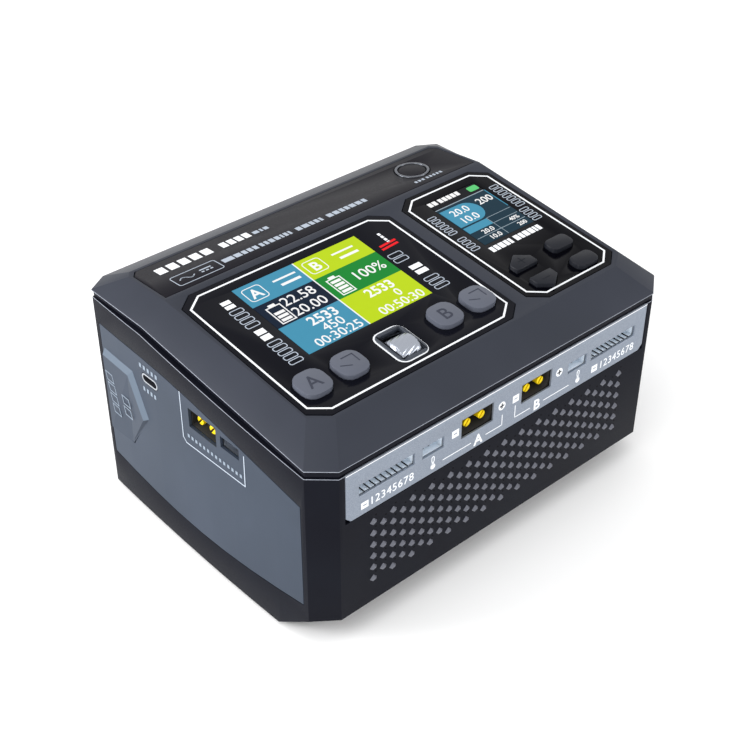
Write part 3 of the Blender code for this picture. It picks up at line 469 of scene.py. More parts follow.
def lettering(name, words, plane, surface, body=CHARGER, low=0.0):
    """Digits and signs: rows of (text, x, y, height, align, weight), made one flat mesh."""
    made = []
    for text, x, y, height, align, weight in words:
        bpy.ops.object.text_add()
        obj = bpy.context.object
        obj.data.body = text
        obj.data.size = height * FONT_PER_HEIGHT * MM
        obj.data.align_x = align
        obj.data.offset = weight * MM
        obj.data.extrude = INK
        obj.data.resolution_u = 3
        make_active(obj)
        bpy.ops.object.convert(target="MESH")
        obj.matrix_world = plane @ Matrix.Translation((x * MM, y * MM, low + INK))
        bpy.ops.object.transform_apply(location=True, rotation=True, scale=True)
        made.append(obj)
    return settle(joined(made), name, surface, body)


# ----------------------------------------------------------
# Front strip: a silver-lacquered plate let into the front wall, with windows for the sockets
# and a thin white line along its top, a painted highlight on its chamfer.

# Silver lacquer: metal flakes a fifth of a millimetre across in a clear binder, so it glitters
# softly without a mirror's sharpness.
silver_lacquer = mottled("silver_lacquer", "7d8592", "9098a4", 0.36, 5000.0, 1.0, (0.35, 0.65), Metallic=0.35)
stand_for("port_strip", 0.3 * MM, silver_lacquer, segments=2)

signs = []
sign_frames = []
crosses = []
for x0, z0, x1, z1 in ((-71.0, 59.3, -67.7, 62.2), (-28.3, 67.2, -25.0, 70.4), (2.6, 67.2, 5.8, 70.4),
                       (47.0, 59.4, 50.3, 62.4)):
    middle = (z0 + z1) / 2
    dash = block(x0 + 0.75, middle - 0.28, x1 - 0.75, middle + 0.28)
    sign_frames.append((block(x0, z0, x1, z1), dash))
for x, z in ((-3.1, 69.1), (27.7, 69.2)):
    signs.append(disc(x, z, 1.8))
    crosses.append(block(x - 1.15, z - 0.3, x + 1.15, z + 0.3))
    crosses.append(block(x - 0.3, z + 0.3, x + 0.3, z + 1.15))
    crosses.append(block(x - 0.3, z - 1.15, x + 0.3, z - 0.3))
LINE = 0.35
signs += [
    bar(-32.4, 60.1, -18.6, 60.1, LINE), bar(-10.8, 60.1, -2.8, 60.1, LINE),
    bar(-2.6, 60.1, -2.6, 64.6, LINE),
    bar(4.2, 65.4, 4.2, 60.2, LINE), bar(4.2, 60.1, 12.3, 60.1, LINE), bar(20.0, 60.1, 33.8, 60.1, LINE),
]
for x, z in ((-37.4, 61.5), (39.0, 61.8)):
    signs.append(disc(x, z - 1.7, 1.15))
    signs.append(block(x - 0.5, z - 0.9, x + 0.5, z + 0.3))
    sign_frames.append(ring_between(rounded_box(x - 0.75, z + 0.1, x + 0.75, z + 2.9, 0.7, 3), 0.36))
flat_piece("strip_signs", signs, FRONT_PLANE, SUNK, INK, white_ink, holes=sign_frames)
# Dark ink for the crosses: matt black, a little glossier where it is thick.
dark_ink = broken_gloss("dark_screen_ink", "1c1e24", 3000.0, 0.4, 0.6)
# A thin white line along the strip's top edge: a painted highlight on its chamfer, in the white ink.
flat_piece("strip_top_painted_highlight", [block(-77.7, 77.35, 77.7, 77.7)], FRONT_PLANE, SUNK, INK, white_ink)
flat_piece("strip_plus_crosses", crosses, FRONT_PLANE, INK + SUNK, 1.6 * INK, dark_ink)

digits = [(str(n + 1), -66.1 + n * 2.62, 59.3, 3.5, "CENTER", 0.0) for n in range(8)]
digits += [(str(n + 1), 52.5 + n * 2.62, 59.3, 3.5, "CENTER", 0.0) for n in range(8)]
digits += [("A", -14.8, 58.0, 4.6, "CENTER", 0.14), ("B", 16.1, 58.0, 4.6, "CENTER", 0.14)]
lettering("strip_digits", digits, FRONT_PLANE, white_ink)

# ----------------------------------------------------------
# Battery sockets: black glass-filled nylon shells, each with two split pins of gold-plated
# brass. The two channels share the front; the third, on the left side, is for an outside load.

# Glass-filled nylon: the fibres surface as a dull half-millimetre fleck. The sockets' own is greyer.
nylon = broken_gloss("black_nylon", "26272b", 2200.0, 0.38, 0.6, detail=4.0, IOR=1.53)

warm_nylon = broken_gloss("socket_grey_nylon", "2c2b29", 2200.0, 0.34, 0.55, detail=4.0, IOR=1.53)

# Gold plate over turned brass: warm, nearly mirror-like, with fine turning rings.
gold = mottled("gold_plated_brass", "e0b400", "ffe81e", 0.3, 3500.0, Metallic=0.35)

SLIT = 0.75 * MM
for node in ("battery_a_socket", "battery_b_socket", "discharge_socket"):
    stand_for(node, 0.12 * MM, warm_nylon, segments=1)
    outward = Vector((-1, 0, 0)) if node == "discharge_socket" else Vector((0, -1, 0))
    for sign in ("plus", "minus"):
        pin = merged_copy(f"{node}_{sign}_pin")
        low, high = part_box(f"{node}_{sign}_pin")
        middle = (low + high) / 2
        tip = middle + outward * (high - low).dot(Vector([abs(c) for c in outward])) / 2
        bpy.ops.mesh.primitive_cube_add(size=1, location=tip)
        slit = bpy.context.object
        slit.rotation_euler = outward.to_track_quat("Z", "Y").to_euler()
        slit.scale = (SLIT, 8 * MM, 9 * MM)
        slit.rotation_euler.rotate_axis("Z", math.radians(-38))
        cutter = pin.modifiers.new("slit", "BOOLEAN")
        cutter.object = slit
        cutter.operation = "DIFFERENCE"
        cutter.solver = "EXACT"
        apply_modifiers(pin)
        bpy.data.objects.remove(slit)
        round_edges(pin, 0.3 * MM, 3, 40)
        settle(pin, f"{node}_{sign}_pin_shown", gold)
        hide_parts(f"{node}_{sign}_pin")

# ----------------------------------------------------------
# Balance and probe headers: pale nylon boxes moulded round a row of flat tinned blades, which
# lie on the floor of the box a pin's pitch apart.

# Natural nylon: milky, a little uneven where it cooled.
pale_nylon = mottled("pale_header_nylon", "ccd8e4", "e2ecf6", 0.5, 1500.0, detail=3.0, IOR=1.53)

# The blades are painted dark: painted shade for the depth of the box they lie in.
blade_painted_shade_tin = broken_gloss("tin_plate_painted_shade", "24272d", 2500.0, 0.3, 0.55)

HEADER_WALL = 0.8 * MM
HEADER_BACK = 4.5 * MM
BLADE = Vector((8.0, 0.4, 0.42)) * MM  # long, tall, wide
BLADE_RISE = 1.15 * MM
PIN_PITCH = 2.5 * MM


def select_near(obj, test):
    """In edit mode on obj: select the faces whose centre passes a test."""
    bpy.ops.object.mode_set(mode="EDIT")
    bpy.ops.mesh.select_mode(type="FACE")
    bpy.ops.mesh.select_all(action="DESELECT")
    build = bmesh.from_edit_mesh(obj.data)
    for face in build.faces:
        face.select_set(test(face))
    bmesh.update_edit_mesh(obj.data)


def header(node, pins, outward, body_surface, recess):
    """A box open at its mouth, and its pins as a separate metal piece."""
    low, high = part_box(node)
    size = high - low
    middle = (low + high) / 2
    bpy.ops.mesh.primitive_cube_add(size=1, location=middle)
    shell = bpy.context.object
    shell.scale = size
    bpy.ops.object.transform_apply(location=True, rotation=True, scale=True)
    select_near(shell, lambda face: face.normal.dot(outward) > 0.9)
    bpy.ops.mesh.inset(thickness=HEADER_WALL, depth=0)
    depth = abs(size.dot(outward)) - HEADER_BACK
    bpy.ops.mesh.extrude_region_move(TRANSFORM_OT_translate={"value": -outward * depth})
    bpy.ops.object.mode_set(mode="OBJECT")
    round_edges(shell, 0.15 * MM, 2, 40)
    settle(shell, node + "_shell", body_surface)
    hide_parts(node)
    mouth = middle + outward * (abs(size.dot(outward)) / 2)
    across = Vector((0, 0, 1)).cross(outward)
    span = Vector([abs(c) for c in outward])
    upright = Vector((0, 0, 1))
    floor_z = Vector((0, 0, -size.z / 2 + BLADE_RISE))
    bpy.ops.mesh.primitive_cube_add(size=1, location=mouth + floor_z - outward * (recess + BLADE.x / 2))
    pin = bpy.context.object
    pin.scale = span * BLADE.x + upright * BLADE.y + (Vector((1, 1, 1)) - span - upright) * BLADE.z
    bpy.ops.object.transform_apply(location=False, rotation=True, scale=True)
    chamfer_all(pin, 0.12 * MM, 2)
    steps = [across * (i - (pins - 1) / 2) * PIN_PITCH for i in range(pins)]
    join_copies(pin, steps, node + "_pins", blade_painted_shade_tin)


for node in ("balance_a_header", "balance_b_header"):
    header(node, 9, Vector((0, -1, 0)), pale_nylon, -0.9 * MM)
for node in ("probe_a_socket", "probe_b_socket"):
    header(node, 2, Vector((0, -1, 0)), pale_nylon, 2.4 * MM)
header("discharge_signal_socket", 2, Vector((-1, 0, 0)), zinc, 2.4 * MM)

# ----------------------------------------------------------
# Small charging socket on the left side: a drawn stainless shell round a black tongue.

usb = stand_for("usb_socket", 0.1 * MM, zinc, segments=2)
usb.data.materials.append(nylon)
for face in usb.data.polygons:
    if face.center.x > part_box("usb_socket")[0].x + 0.35 * MM:
        face.material_index = 1

LEFT_PLANE = Matrix.Translation((-90.95 * MM, 0, LIFT)) @ Matrix(
    ((0, 0, -1, 0), (-1, 0, 0, 0), (0, 1, 0, 0), (0, 0, 0, 1))
)


def side_marks(name, outlines, surface):
    """Marks printed on the left plate, moved in to lie on its gentle curve."""
    obj = flat_piece(name, outlines, LEFT_PLANE, 0, INK, surface)
    outermost = min(v.co.x for v in obj.data.vertices)
    for vertex in obj.data.vertices:
        proud = max(0.0, outermost - vertex.co.x + 0.11 * MM)
        vertex.co.x = -side_bulge((vertex.co.y - FRONT_Y) / MM) * MM - proud
    obj.data.update()


def left_bar(d0, z0, d1, z1, width=0.45):
    """A stroke on the left side; depths are measured back from the front face."""
    return bar(-(FRONT_Y / MM + d0), z0, -(FRONT_Y / MM + d1), z1, width)


frame_lines = [
    left_bar(75.0, 77.4, 75.0, 57.4), left_bar(75.0, 57.2, 73.3, 55.5),
    left_bar(73.2, 55.4, 38.8, 56.2), left_bar(38.7, 56.3, 38.5, 69.8),
]
side_marks("discharge_frame_line", frame_lines, grey_ink)


def left_block(depth, z, wide, tall, lean=0.0):
    """A small block on the left side, its top leaning by a little."""
    x = -(FRONT_Y / MM + depth)
    return [(x - wide / 2 - lean, z - tall / 2), (x + wide / 2 - lean, z - tall / 2),
            (x + wide / 2 + lean, z + tall / 2), (x - wide / 2 + lean, z + tall / 2)]


small_marks = [left_block(100.4 - k * 2.6, 75.4, 1.3, 1.9) for k in range(5)]
small_marks += [left_block(99.2 - k * 2.4, 65.2, 1.2, 1.9) for k in range(4)]
small_marks += [left_block(71.4 - k * 2.35, 59.6, 1.2, 1.5) for k in range(14)]
side_marks("side_small_marks", small_marks, soft_ink)

# The boss carries outlined leaning blocks where the maker prints a rating.
boss_blocks = []
for depth, z in ((123.4, 57.4), (122.4, 52.6), (121.6, 47.8), (120.8, 43.0), (112.6, 51.8), (112.0, 46.8)):
    boss_blocks.append(ring_between(left_block(depth, z, 5.0, 3.9, -0.5), 0.35))
boss_marks = flat_piece("boss_outlined_blocks", [], LEFT_PLANE, 0, INK, soft_ink, holes=boss_blocks)
for vertex in boss_marks.data.vertices:
    top = vertex.co.x < -90.96 * MM
    depth = (vertex.co.y - FRONT_Y) / MM
    vertex.co.x = -(side_bulge(depth) + BOSS_PROUD) * MM - (0.05 * MM if top else -0.1 * MM)

# ----------------------------------------------------------
# Cover: satin grey ABS in one moulding, finer grained than the tub. Its lower edge carries a
# thin pale line all round, a painted highlight where the edge catches the light.

# Charcoal grey with finer pits, so the slopes of the roof carry a clearer sheen than the tub.
cover_abs = moulded_abs("satin_grey_abs", ("31343c", "363942"), (0.3, 0.75), 25.0, 3400.0, (0.34, 0.46),
                        0.18, 0.00004)
stand_for("top_cover", 0.35 * MM, cover_abs, limit=12)

# Painted highlights on the edges of both mouldings: thin pale lines round the cover's foot and the rim.
edge_painted_highlight = mottled("abs_edge_painted_highlight", "7b808b", "a3a8b3", 0.25, 300.0, IOR=1.53)


def thin_line(name, points, radius, surface):
    """A closed fine round line through points given in millimetres: half-width, depth, height."""
    right = [(x, d, z) for x, d, z in points]
    left = [(-x, d, z) for x, d, z in reversed(points)]
    curve = bpy.data.curves.new(name, "CURVE")
    curve.dimensions = "3D"
    curve.bevel_depth = radius
    curve.bevel_resolution = 1
    spline = curve.splines.new("POLY")
    spline.points.add(len(right + left) - 1)
    spline.use_cyclic_u = True
    for point, (x, d, z) in zip(spline.points, right + left):
        point.co = (x * MM, FRONT_Y + d * MM, z * MM + LIFT, 1)
    obj = bpy.data.objects.new(name, curve)
    bpy.context.scene.collection.objects.link(obj)
    make_active(obj)
    bpy.ops.object.convert(target="MESH")
    bpy.ops.object.shade_smooth()
    return settle(bpy.context.object, name, surface)


thin_line("cover_foot_painted_highlight", [(80.5, 0.05, 81.35), (89.65, 7.1, 82.2), (89.65, 98.5, 92.75),
                              (89.65, 131.2, 92.75),
                              (81.5, 136.15, 92.75)], 0.16 * MM, edge_painted_highlight)
RIM_Z, RIM_RISE, RIM_BACK_Z = 78.05, 0.11878, 89.75
rim_points = [(80.5, 0.1, RIM_Z), (89.62, 7.15, 78.9)]
rim_points += [(side_bulge(d) - 0.08, d, RIM_Z + RIM_RISE * d) for d in range(12, 99, 6)]
rim_points += [(side_bulge(d) - 0.08, d, RIM_BACK_Z) for d in (98.5, 108, 116, 124)]
rim_points += [(89.62, 131.1, RIM_BACK_Z), (81.5, 136.1, RIM_BACK_Z)]
thin_line("case_rim_painted_highlight", rim_points, 0.13 * MM, edge_painted_highlight)

# The step between the two mouldings: a band of the tub's black ABS that closes the seam, set
# back half a millimetre, with a fine dark line left open above the rim.
STEP = [(80.3, 0.5, 78.6, 81.15), (89.15, 7.3, 79.45, 82.0), (89.15, 98.4, 90.25, 92.55),
        (89.15, 131.0, 90.25, 92.55), (81.3, 135.65, 90.25, 92.55)]
STEP_INNER = [(79.2, 3.5), (86.2, 8.6), (86.2, 98.4), (86.2, 129.7), (80.0, 132.7)]
build = bmesh.new()
rings = []
for sign, order in ((1, 1), (-1, -1)):
    for (x, d, low, high), (x_in, d_in) in list(zip(STEP, STEP_INNER))[::order]:
        corners = ((x, d, low), (x, d, high), (x_in, d_in, high), (x_in, d_in, low))
        rings.append([build.verts.new((sign * cx * MM, FRONT_Y + cd * MM, cz * MM + LIFT))
                      for cx, cd, cz in corners])
for here, there in zip(rings, rings[1:] + rings[:1]):
    for i in range(4):
        j = (i + 1) % 4
        build.faces.new((here[i], here[j], there[j], there[i]))
step = round_edges(built_object(build, "seam_step"), 0.2 * MM, 2)
settle(step, "seam_step", case_abs)

# ----------------------------------------------------------
# Rear deck: a dark hard-coated plate bonded to the slope behind the control face. Plain pale
# dashes and the signs for alternating and direct current stand where a maker puts its name.

# Hard coat: a sprayed black film, smooth, with a faint cloud in its gloss.
hard_coat = broken_gloss("dark_hard_coat", "17161c", 1200.0, 0.28, 0.42, detail=3.0, IOR=1.5)
stand_for("deck_plate", 0.2 * MM, hard_coat, segments=2)

FACE_Z, FACE_RISE = 90.69, 0.109
DECK_START, DECK_FALL = 96.0, 0.0727
FACE_PLANE = Matrix.Translation((0, FRONT_Y, FACE_Z * MM + LIFT))
FACE_PLANE @= Matrix.Rotation(math.atan(FACE_RISE), 4, "X")
DECK_Z = FACE_Z + FACE_RISE * DECK_START
DECK_PLANE = Matrix.Translation((0, FRONT_Y + DECK_START * MM, DECK_Z * MM + LIFT))
DECK_PLANE @= Matrix.Rotation(-math.atan(DECK_FALL), 4, "X")


def dashes(x0, y0, x1, y1, widths, gap):
    """A run of plain blocks between two ends, each as wide as its share and parted by a gap."""
    room = x1 - x0 - gap * (len(widths) - 1)
    blocks = []
    x = x0
    for share in widths:
        wide = room * share / sum(widths)
        blocks.append(block(x, y0, x + wide, y1))
        x += wide + gap
    return blocks


deck_bold = dashes(-70.5, 16.9, -45.8, 21.6, (1, 1, 1, 1, 1), 1.4)
deck_bold += dashes(-41.2, 16.9, -27.6, 20.9, (1, 1, 1, 1), 0.9)
deck_fine = dashes(-26.0, 17.2, -18.8, 19.4, (5, 2, 4), 0.8)
for x0, x1, shares in ((-48.0, -31.6, (5, 3, 2, 2, 2)), (-30.3, -15.2, (3, 3, 4, 4, 2, 3, 2)),
                       (-12.4, 0.6, (4, 5, 3, 3, 2)), (3.4, 23.6, (4, 4, 3, 3, 4, 4, 3))):
    deck_fine += dashes(x0, 6.9, x1, 9.7, shares, 0.7)
deck_fine.append(block(-58.4, 8.7, -53.2, 9.4))
deck_fine += [block(x, 7.1, x + 1.2, 7.8) for x in (-58.4, -56.4, -54.4)]
deck_fine += dashes(48.0, 4.3, 53.0, 5.8, (1, 1, 1), 0.8)
deck_fine += dashes(54.4, 4.3, 63.0, 5.8, (1, 1, 1, 1, 1), 0.8)
wave = [(-67.6 + k * 0.45, 8.2 + 1.0 * math.sin(k * math.pi / 7)) for k in range(15)]
for start, end in zip(wave, wave[1:]):
    deck_fine.append(bar(*start, *end, 0.5))
flat_piece("deck_bold_dashes", deck_bold, DECK_PLANE, SUNK, INK, white_ink)
flat_piece("deck_fine_dashes", deck_fine, DECK_PLANE, SUNK, INK, grey_ink,
           holes=[ring_between(rounded_box(-70.2, 4.2, -49.7, 12.2, 1.2, 4), 0.35)])

# Turned stainless steel: the tool's rings blur the reflection round the button.
brushed_ring = broken_gloss("turned_stainless", "6d7077", 2600.0, 0.2, 0.4, Metallic=1.0)
stand_for("power_switch_body", 0.25 * MM, brushed_ring, segments=2)
stand_for("power_button", 0.5 * MM, hard_coat, "power_button")

# ----------------------------------------------------------
# Control panels: two sheets of gloss black acrylic set flush in the cover, each with a white
# line printed round its border.

# Cast acrylic printed black behind: deep, with a mirror's gloss that waves a little.
acrylic = broken_gloss("gloss_black_acrylic", "0a0b13", 60.0, 0.13, 0.2, detail=1.0, IOR=1.49)


def recoloured(surface, name, hex_colour, specular=None):
    """The same surface moulded or printed in another colour."""
    made = surface.copy()
    made.name = name
    shader = made.node_tree.nodes["Principled BSDF"]
    shader.inputs["Base Color"].default_value = linear(hex_colour)
    if specular is not None:
        shader.inputs["Specular IOR Level"].default_value = specular
    return made


# The small panel is a darker copy of the same acrylic: painted shade, so that it reads as a pit beside the
# main one.
acrylic_painted_shade = recoloured(acrylic, "gloss_black_acrylic_painted_shade", "030308")
stand_for("main_panel", 0.18 * MM, acrylic, segments=2)
stand_for("supply_panel", 0.18 * MM, acrylic_painted_shade, segments=2)


def cut_box(x0, y0, x1, y1, cut_x, cut_y):
    return [(x0 + cut_x, y0), (x1 - cut_x, y0), (x1, y0 + cut_y), (x1, y1 - cut_y),
            (x1 - cut_x, y1), (x0 + cut_x, y1), (x0, y1 - cut_y), (x0, y0 + cut_y)]


borders = [
    ring_between(cut_box(-76.3, 16.2, 20.1, 91.9, 7.0, 5.2), 0.75),
    ring_between(cut_box(30.4, 16.8, 75.6, 91.8, 6.3, 5.0), 0.75),
    ring_between(rounded_box(-35.1, 18.5, -20.7, 36.9, 3.8), 0.75),
]
flat_piece("panel_border_lines", [], FACE_PLANE, SUNK, INK, white_ink, holes=borders)


def column(start, end, count, gap):
    """Even spans up a column, one for each figure that the maker prints there."""
    pitch = (end - start + gap) / count
    return [(start + i * pitch, start + i * pitch + pitch - gap) for i in range(count)]


hollow = []
for x0, x1, start, end, count in (
    (-66.4, -60.4, 41.4, 55.6, 5), (-66.4, -60.4, 65.6, 77.4, 4), (4.3, 11.4, 42.6, 50.8, 3),
    (3.0, 9.8, 63.4, 69.6, 2), (32.4, 36.8, 51.9, 61.4, 4), (32.4, 36.8, 64.6, 78.4, 6),
    (67.6, 72.6, 52.4, 61.6, 4), (69.2, 74.0, 63.2, 80.4, 7),
):
    for low, high in column(start, end, count, 0.5):
        hollow.append(ring_between(rounded_box(x0, low, x1, high, 0.9, 3), 0.36))
solid = []
for x0, x1, start, end, count, gap in (
    (-65.6, -61.6, 57.2, 63.6, 2, 0.8), (-65.6, -61.6, 78.6, 83.4, 2, 0.7), (5.2, 10.6, 53.6, 59.6, 2, 1.0),
):
    solid += [block(x0, low, x1, high) for low, high in column(start, end, count, gap)]
solid += dashes(38.8, 46.9, 50.4, 50.1, (4, 4, 5, 4, 3), 0.55)
solid += dashes(52.2, 46.9, 66.6, 50.1, (4, 3, 4, 4, 2, 3), 0.55)
solid += [block(9.6, low, 10.8, high) for low, high in column(75.4, 82.6, 4, 0.5)]
flat_piece("panel_outlined_blocks", [], FACE_PLANE, SUNK, INK, grey_ink, holes=hollow)
flat_piece("panel_solid_blocks", solid, FACE_PLANE, SUNK, INK, white_ink)

# Red ink: the only warm mark on the panels, as matt as the white.
red_ink = mottled("red_screen_ink", "c8101a", "e61c24", 0.45, 4000.0)
red_strokes = [bar(5.0, 73.4, 12.4, 73.9, 1.1), bar(5.4, 75.4, 12.8, 75.9, 1.1)]
flat_piece("panel_red_strokes", red_strokes, FACE_PLANE, SUNK, INK, red_ink)

# ----------------------------------------------------------
# Displays: liquid-crystal modules bonded behind their lenses, so that the picture seems to lie
# on the surface. Each patch of colour is a lit shape; the figures are plain digits.

# Bonded glass: near black when unlit, with the smears of a wiped surface.
lens = broken_gloss("bonded_display_glass", "0a0c12", 80.0, 0.05, 0.12, IOR=1.5)
stand_for("main_display_lens", 0.1 * MM, lens, segments=1)
stand_for("supply_display_lens", 0.1 * MM, lens, segments=1)


def lit_colour(name, hex_colour):
    """A lit area of a display: its light, under a gloss surface, a little uneven as a real one is."""
    made, tree, shader = new_material(name, "050507", 0.25, Emission_Strength=1.0)
    place = add_node(tree, "ShaderNodeTexCoord")
    rows = add_node(tree, "ShaderNodeTexNoise", [("Scale", 400.0), ("Detail", 1.0)],
                    [(place.outputs["Object"], "Vector")])
    tone = add_node(tree, "ShaderNodeValToRGB", [], [(rows.outputs["Fac"], "Fac")])
    full = linear(hex_colour)
    tone.color_ramp.elements[0].color = [c * 0.96 for c in full[:3]] + [1.0]
    tone.color_ramp.elements[1].color = full
    tree.links.new(tone.outputs["Color"], shader.inputs["Emission Color"])
    return made


# Clear display colours: cool blues and dark navy for channel A, lime and green for channel B,
# and white, mint and grey for what is drawn over them.
blue_light = lit_colour("display_blue_light", "4596b6")
navy_light = lit_colour("display_navy_light", "041a31")
deep_teal_light = lit_colour("display_deep_teal_light", "0a3040")
lime_light = lit_colour("display_lime_light", "c2de0e")
green_light = lit_colour("display_green_light", "0f8a2f")
white_light = lit_colour("display_white_light", "ffffff")
mint_light = lit_colour("display_mint_light", "5fd07a")
grey_light = lit_colour("display_grey_light", "9fb0bb")
LAYER = 0.06 * MM


def lit_patch(name, loops, light, low=0.0, high=LAYER, holes=()):
    """A lit area of a display, laid on the lens over the patches beneath it."""
    return flat_piece(name, loops, FACE_PLANE, low, high, light, holes=holes)


X0, Y0, X1, Y1 = -57.6, 42.45, 1.5, 86.8
MIDDLE_X, HEADER_Y, BAND_Y = -29.3, 74.2, 59.6
lit_patch("channel_a_screen_blue", [block(X0, HEADER_Y, MIDDLE_X - 0.25, Y1),
                                    block(X0, Y0, MIDDLE_X - 0.25, BAND_Y)], blue_light)
lit_patch("channel_a_screen_navy", [block(X0, BAND_Y, MIDDLE_X - 0.25, HEADER_Y)], navy_light)
lit_patch("channel_b_screen_lime", [block(MIDDLE_X + 0.25, HEADER_Y, X1, Y1),
                                    block(MIDDLE_X + 0.25, Y0, X1, BAND_Y)], lime_light)
lit_patch("channel_b_screen_green", [block(MIDDLE_X + 0.25, BAND_Y, X1, HEADER_Y)], green_light)

icons = [block(MIDDLE_X - 0.25, Y0, MIDDLE_X + 0.25, Y1)]
icon_frames = []
for x, y, lit in ((-54.6, 60.6, 3), (-26.2, 60.6, 4)):
    icon_frames.append(ring_between(block(x, y, x + 6.6, y + 10.4), 0.5))
    icons.append(block(x + 1.8, y + 10.4, x + 4.8, y + 11.6))
    for row in range(lit):
        icons.append(block(x + 1.1, y + 1.1 + row * 2.15, x + 5.5, y + 2.55 + row * 2.15))
for x, y in ((-55.6, 76.6), (-27.2, 76.6)):
    icon_frames.append(ring_between(rounded_box(x, y, x + 8.4, y + 8.2, 1.6, 4), 0.35))
for x in (-43.6, -15.2):
    icons.append(block(x + 1.5, 81.8, x + 12.0, 82.7))
    icons.append(block(x + 3.0, 78.2, x + 12.0, 79.5))
lit_patch("main_screen_marks", icons, white_light, LAYER, LAYER + INK, holes=icon_frames)
lettering("main_screen_digits", [
    ("A", -51.4, 78.1, 5.2, "CENTER", 0.12), ("B", -23.0, 78.1, 5.2, "CENTER", 0.12),
    ("22.58", -32.2, 68.0, 5.0, "RIGHT", 0.0), ("20.00", -32.2, 61.2, 5.0, "RIGHT", 0.0),
    ("2533", -33.4, 53.8, 4.8, "RIGHT", 0.1), ("450", -35.0, 48.4, 4.6, "RIGHT", 0.0),
    ("00:30:25", -30.8, 43.2, 4.5, "RIGHT", 0.0),
    ("100%", -0.8, 64.4, 5.2, "RIGHT", 0.02),
    ("2533", -6.0, 53.8, 4.8, "RIGHT", 0.1), ("0", -7.0, 48.6, 4.2, "RIGHT", 0.02),
    ("00:50:30", -0.6, 43.2, 4.5, "RIGHT", 0.0),
], FACE_PLANE, white_light, low=LAYER)

PX0, PY0, PX1, PY1 = 39.3, 52.3, 67.0, 86.7
lit_patch("supply_screen_navy", [block(PX0, PY0, PX1, PY1 - 6.5)], deep_teal_light)
half_disc = [(PX0 + 0.4, 78.6)]
for degrees in range(0, 181, 15):
    angle = math.radians(degrees)
    half_disc.append((50.5 + 6.3 * math.sin(angle), 72.2 + 6.3 * math.cos(angle)))
half_disc.append((PX0 + 0.4, 66.0))
lit_patch("supply_screen_teal", [half_disc[::-1], block(PX0 + 0.4, 61.0, 52.6, 65.0)], blue_light,
          LAYER, 2 * LAYER)
lit_patch("supply_screen_rules", [
    block(PX0, PY1 - 6.6, PX1 - 0.6, PY1 - 6.2), block(PX0 + 0.4, 56.6, PX1 - 0.6, 56.85),
    block(52.8, PY0 + 0.4, 53.0, 65.2), block(53.2, 65.0, PX1 - 0.6, 65.2),
    block(53.2, 61.0, PX1 - 0.6, 61.2),
], grey_light, LAYER, LAYER + INK)
lit_patch("supply_screen_edge", [block(PX1 - 0.5, 66.5, PX1 - 0.1, PY1 - 6.6)], blue_light, LAYER,
          LAYER + INK)
lit_patch("supply_screen_battery", [rounded_box(60.9, PY1 - 4.6, 66.2, PY1 - 1.4, 0.7, 3)], mint_light,
          LAYER, LAYER + INK)
heading = dashes(39.6, 83.4, 44.0, 86.0, (1, 1), 0.5) + dashes(45.2, 83.4, 56.4, 86.0, (1, 1, 1, 1, 1), 0.5)
lit_patch("supply_screen_heading", heading, white_light, LAYER, LAYER + INK)
lettering("supply_screen_digits", [
    ("20.0", 52.2, 73.0, 4.0, "RIGHT", 0.02), ("10.0", 52.2, 67.2, 4.0, "RIGHT", 0.02),
    ("200", 65.8, 73.2, 4.0, "RIGHT", 0.02), ("20.0", 50.6, 57.6, 2.6, "RIGHT", 0.02),
    ("10.0", 50.6, 53.2, 2.6, "RIGHT", 0.02), ("40%", 64.8, 57.8, 2.2, "RIGHT", 0.02),
    ("200", 64.8, 53.4, 2.2, "RIGHT", 0.02),
], FACE_PLANE, white_light, low=2 * LAYER)

# ----------------------------------------------------------
# Keys: grey and black moulded caps with rounded shoulders. The four main ones are dished, and
# two of those carry their channel's letter.

# Satin ABS: finely grained grey keycaps. The engraved letters are matt and darker.
key_abs = broken_gloss("satin_key_abs", "555965", 3400.0, 0.3, 0.44, detail=3.0, IOR=1.53,
                       Specular_IOR_Level=0.25)
engraved_abs = broken_gloss("engraved_key_abs", "3c3f4a", 3000.0, 0.5, 0.7)
# The supply's keys: the same cap in black, with less shine.
dark_key_abs = recoloured(key_abs, "satin_dark_key_abs", "191b22", specular=0.15)

for node in ("channel_a_key", "enter_a_key", "channel_b_key", "enter_b_key"):
    stand_for(node, 0.9 * MM, key_abs, node, segments=2, limit=45)
for node in ("output_key", "setup_key", "up_key", "down_key"):
    stand_for(node, 0.9 * MM, dark_key_abs, node, segments=2, limit=45)

KEY_TOP = 1.8 * MM
KEY_INK = KEY_TOP - 0.03 * MM, KEY_TOP + INK
for node, letter, x in (("channel_a_key", "A", -67.1), ("channel_b_key", "B", -4.8)):
    lettering(node + "_letter", [(letter, x, 26.4, 6.2, "CENTER", 0.03)], FACE_PLANE, engraved_abs, node,
              KEY_INK[0])
for node, x in (("enter_a_key", -50.5), ("enter_b_key", 11.8)):
    strokes = [bar(x - 3.8, 29.6, x - 0.3, 27.8, 0.45), bar(x - 1.2, 32.6, x + 3.6, 32.6, 0.45),
               bar(x + 3.6, 32.4, x + 3.6, 28.4, 0.45)]
    flat_piece(node + "_mark", strokes, FACE_PLANE, *KEY_INK, engraved_abs, node)
# The two arrow keys carry a plus and a minus sign.
ARROW_X, PLUS_Y, MINUS_Y, SIGN = 41.7, 35.4, 22.2, 1.7
plus = [bar(ARROW_X - SIGN, PLUS_Y, ARROW_X + SIGN, PLUS_Y, 0.5),
        bar(ARROW_X, PLUS_Y + 0.27, ARROW_X, PLUS_Y + SIGN, 0.5),
        bar(ARROW_X, PLUS_Y - SIGN, ARROW_X, PLUS_Y - 0.27, 0.5)]
minus = [bar(ARROW_X - SIGN, MINUS_Y, ARROW_X + SIGN, MINUS_Y, 0.5)]
flat_piece("up_key_plus_sign", plus, FACE_PLANE, *KEY_INK, dark_ink, "up_key")
flat_piece("down_key_minus_sign", minus, FACE_PLANE, *KEY_INK, dark_ink, "down_key")

# ----------------------------------------------------------
# Scroll roller: a metallised ribbed barrel on a steel axle, in a grey bezel.

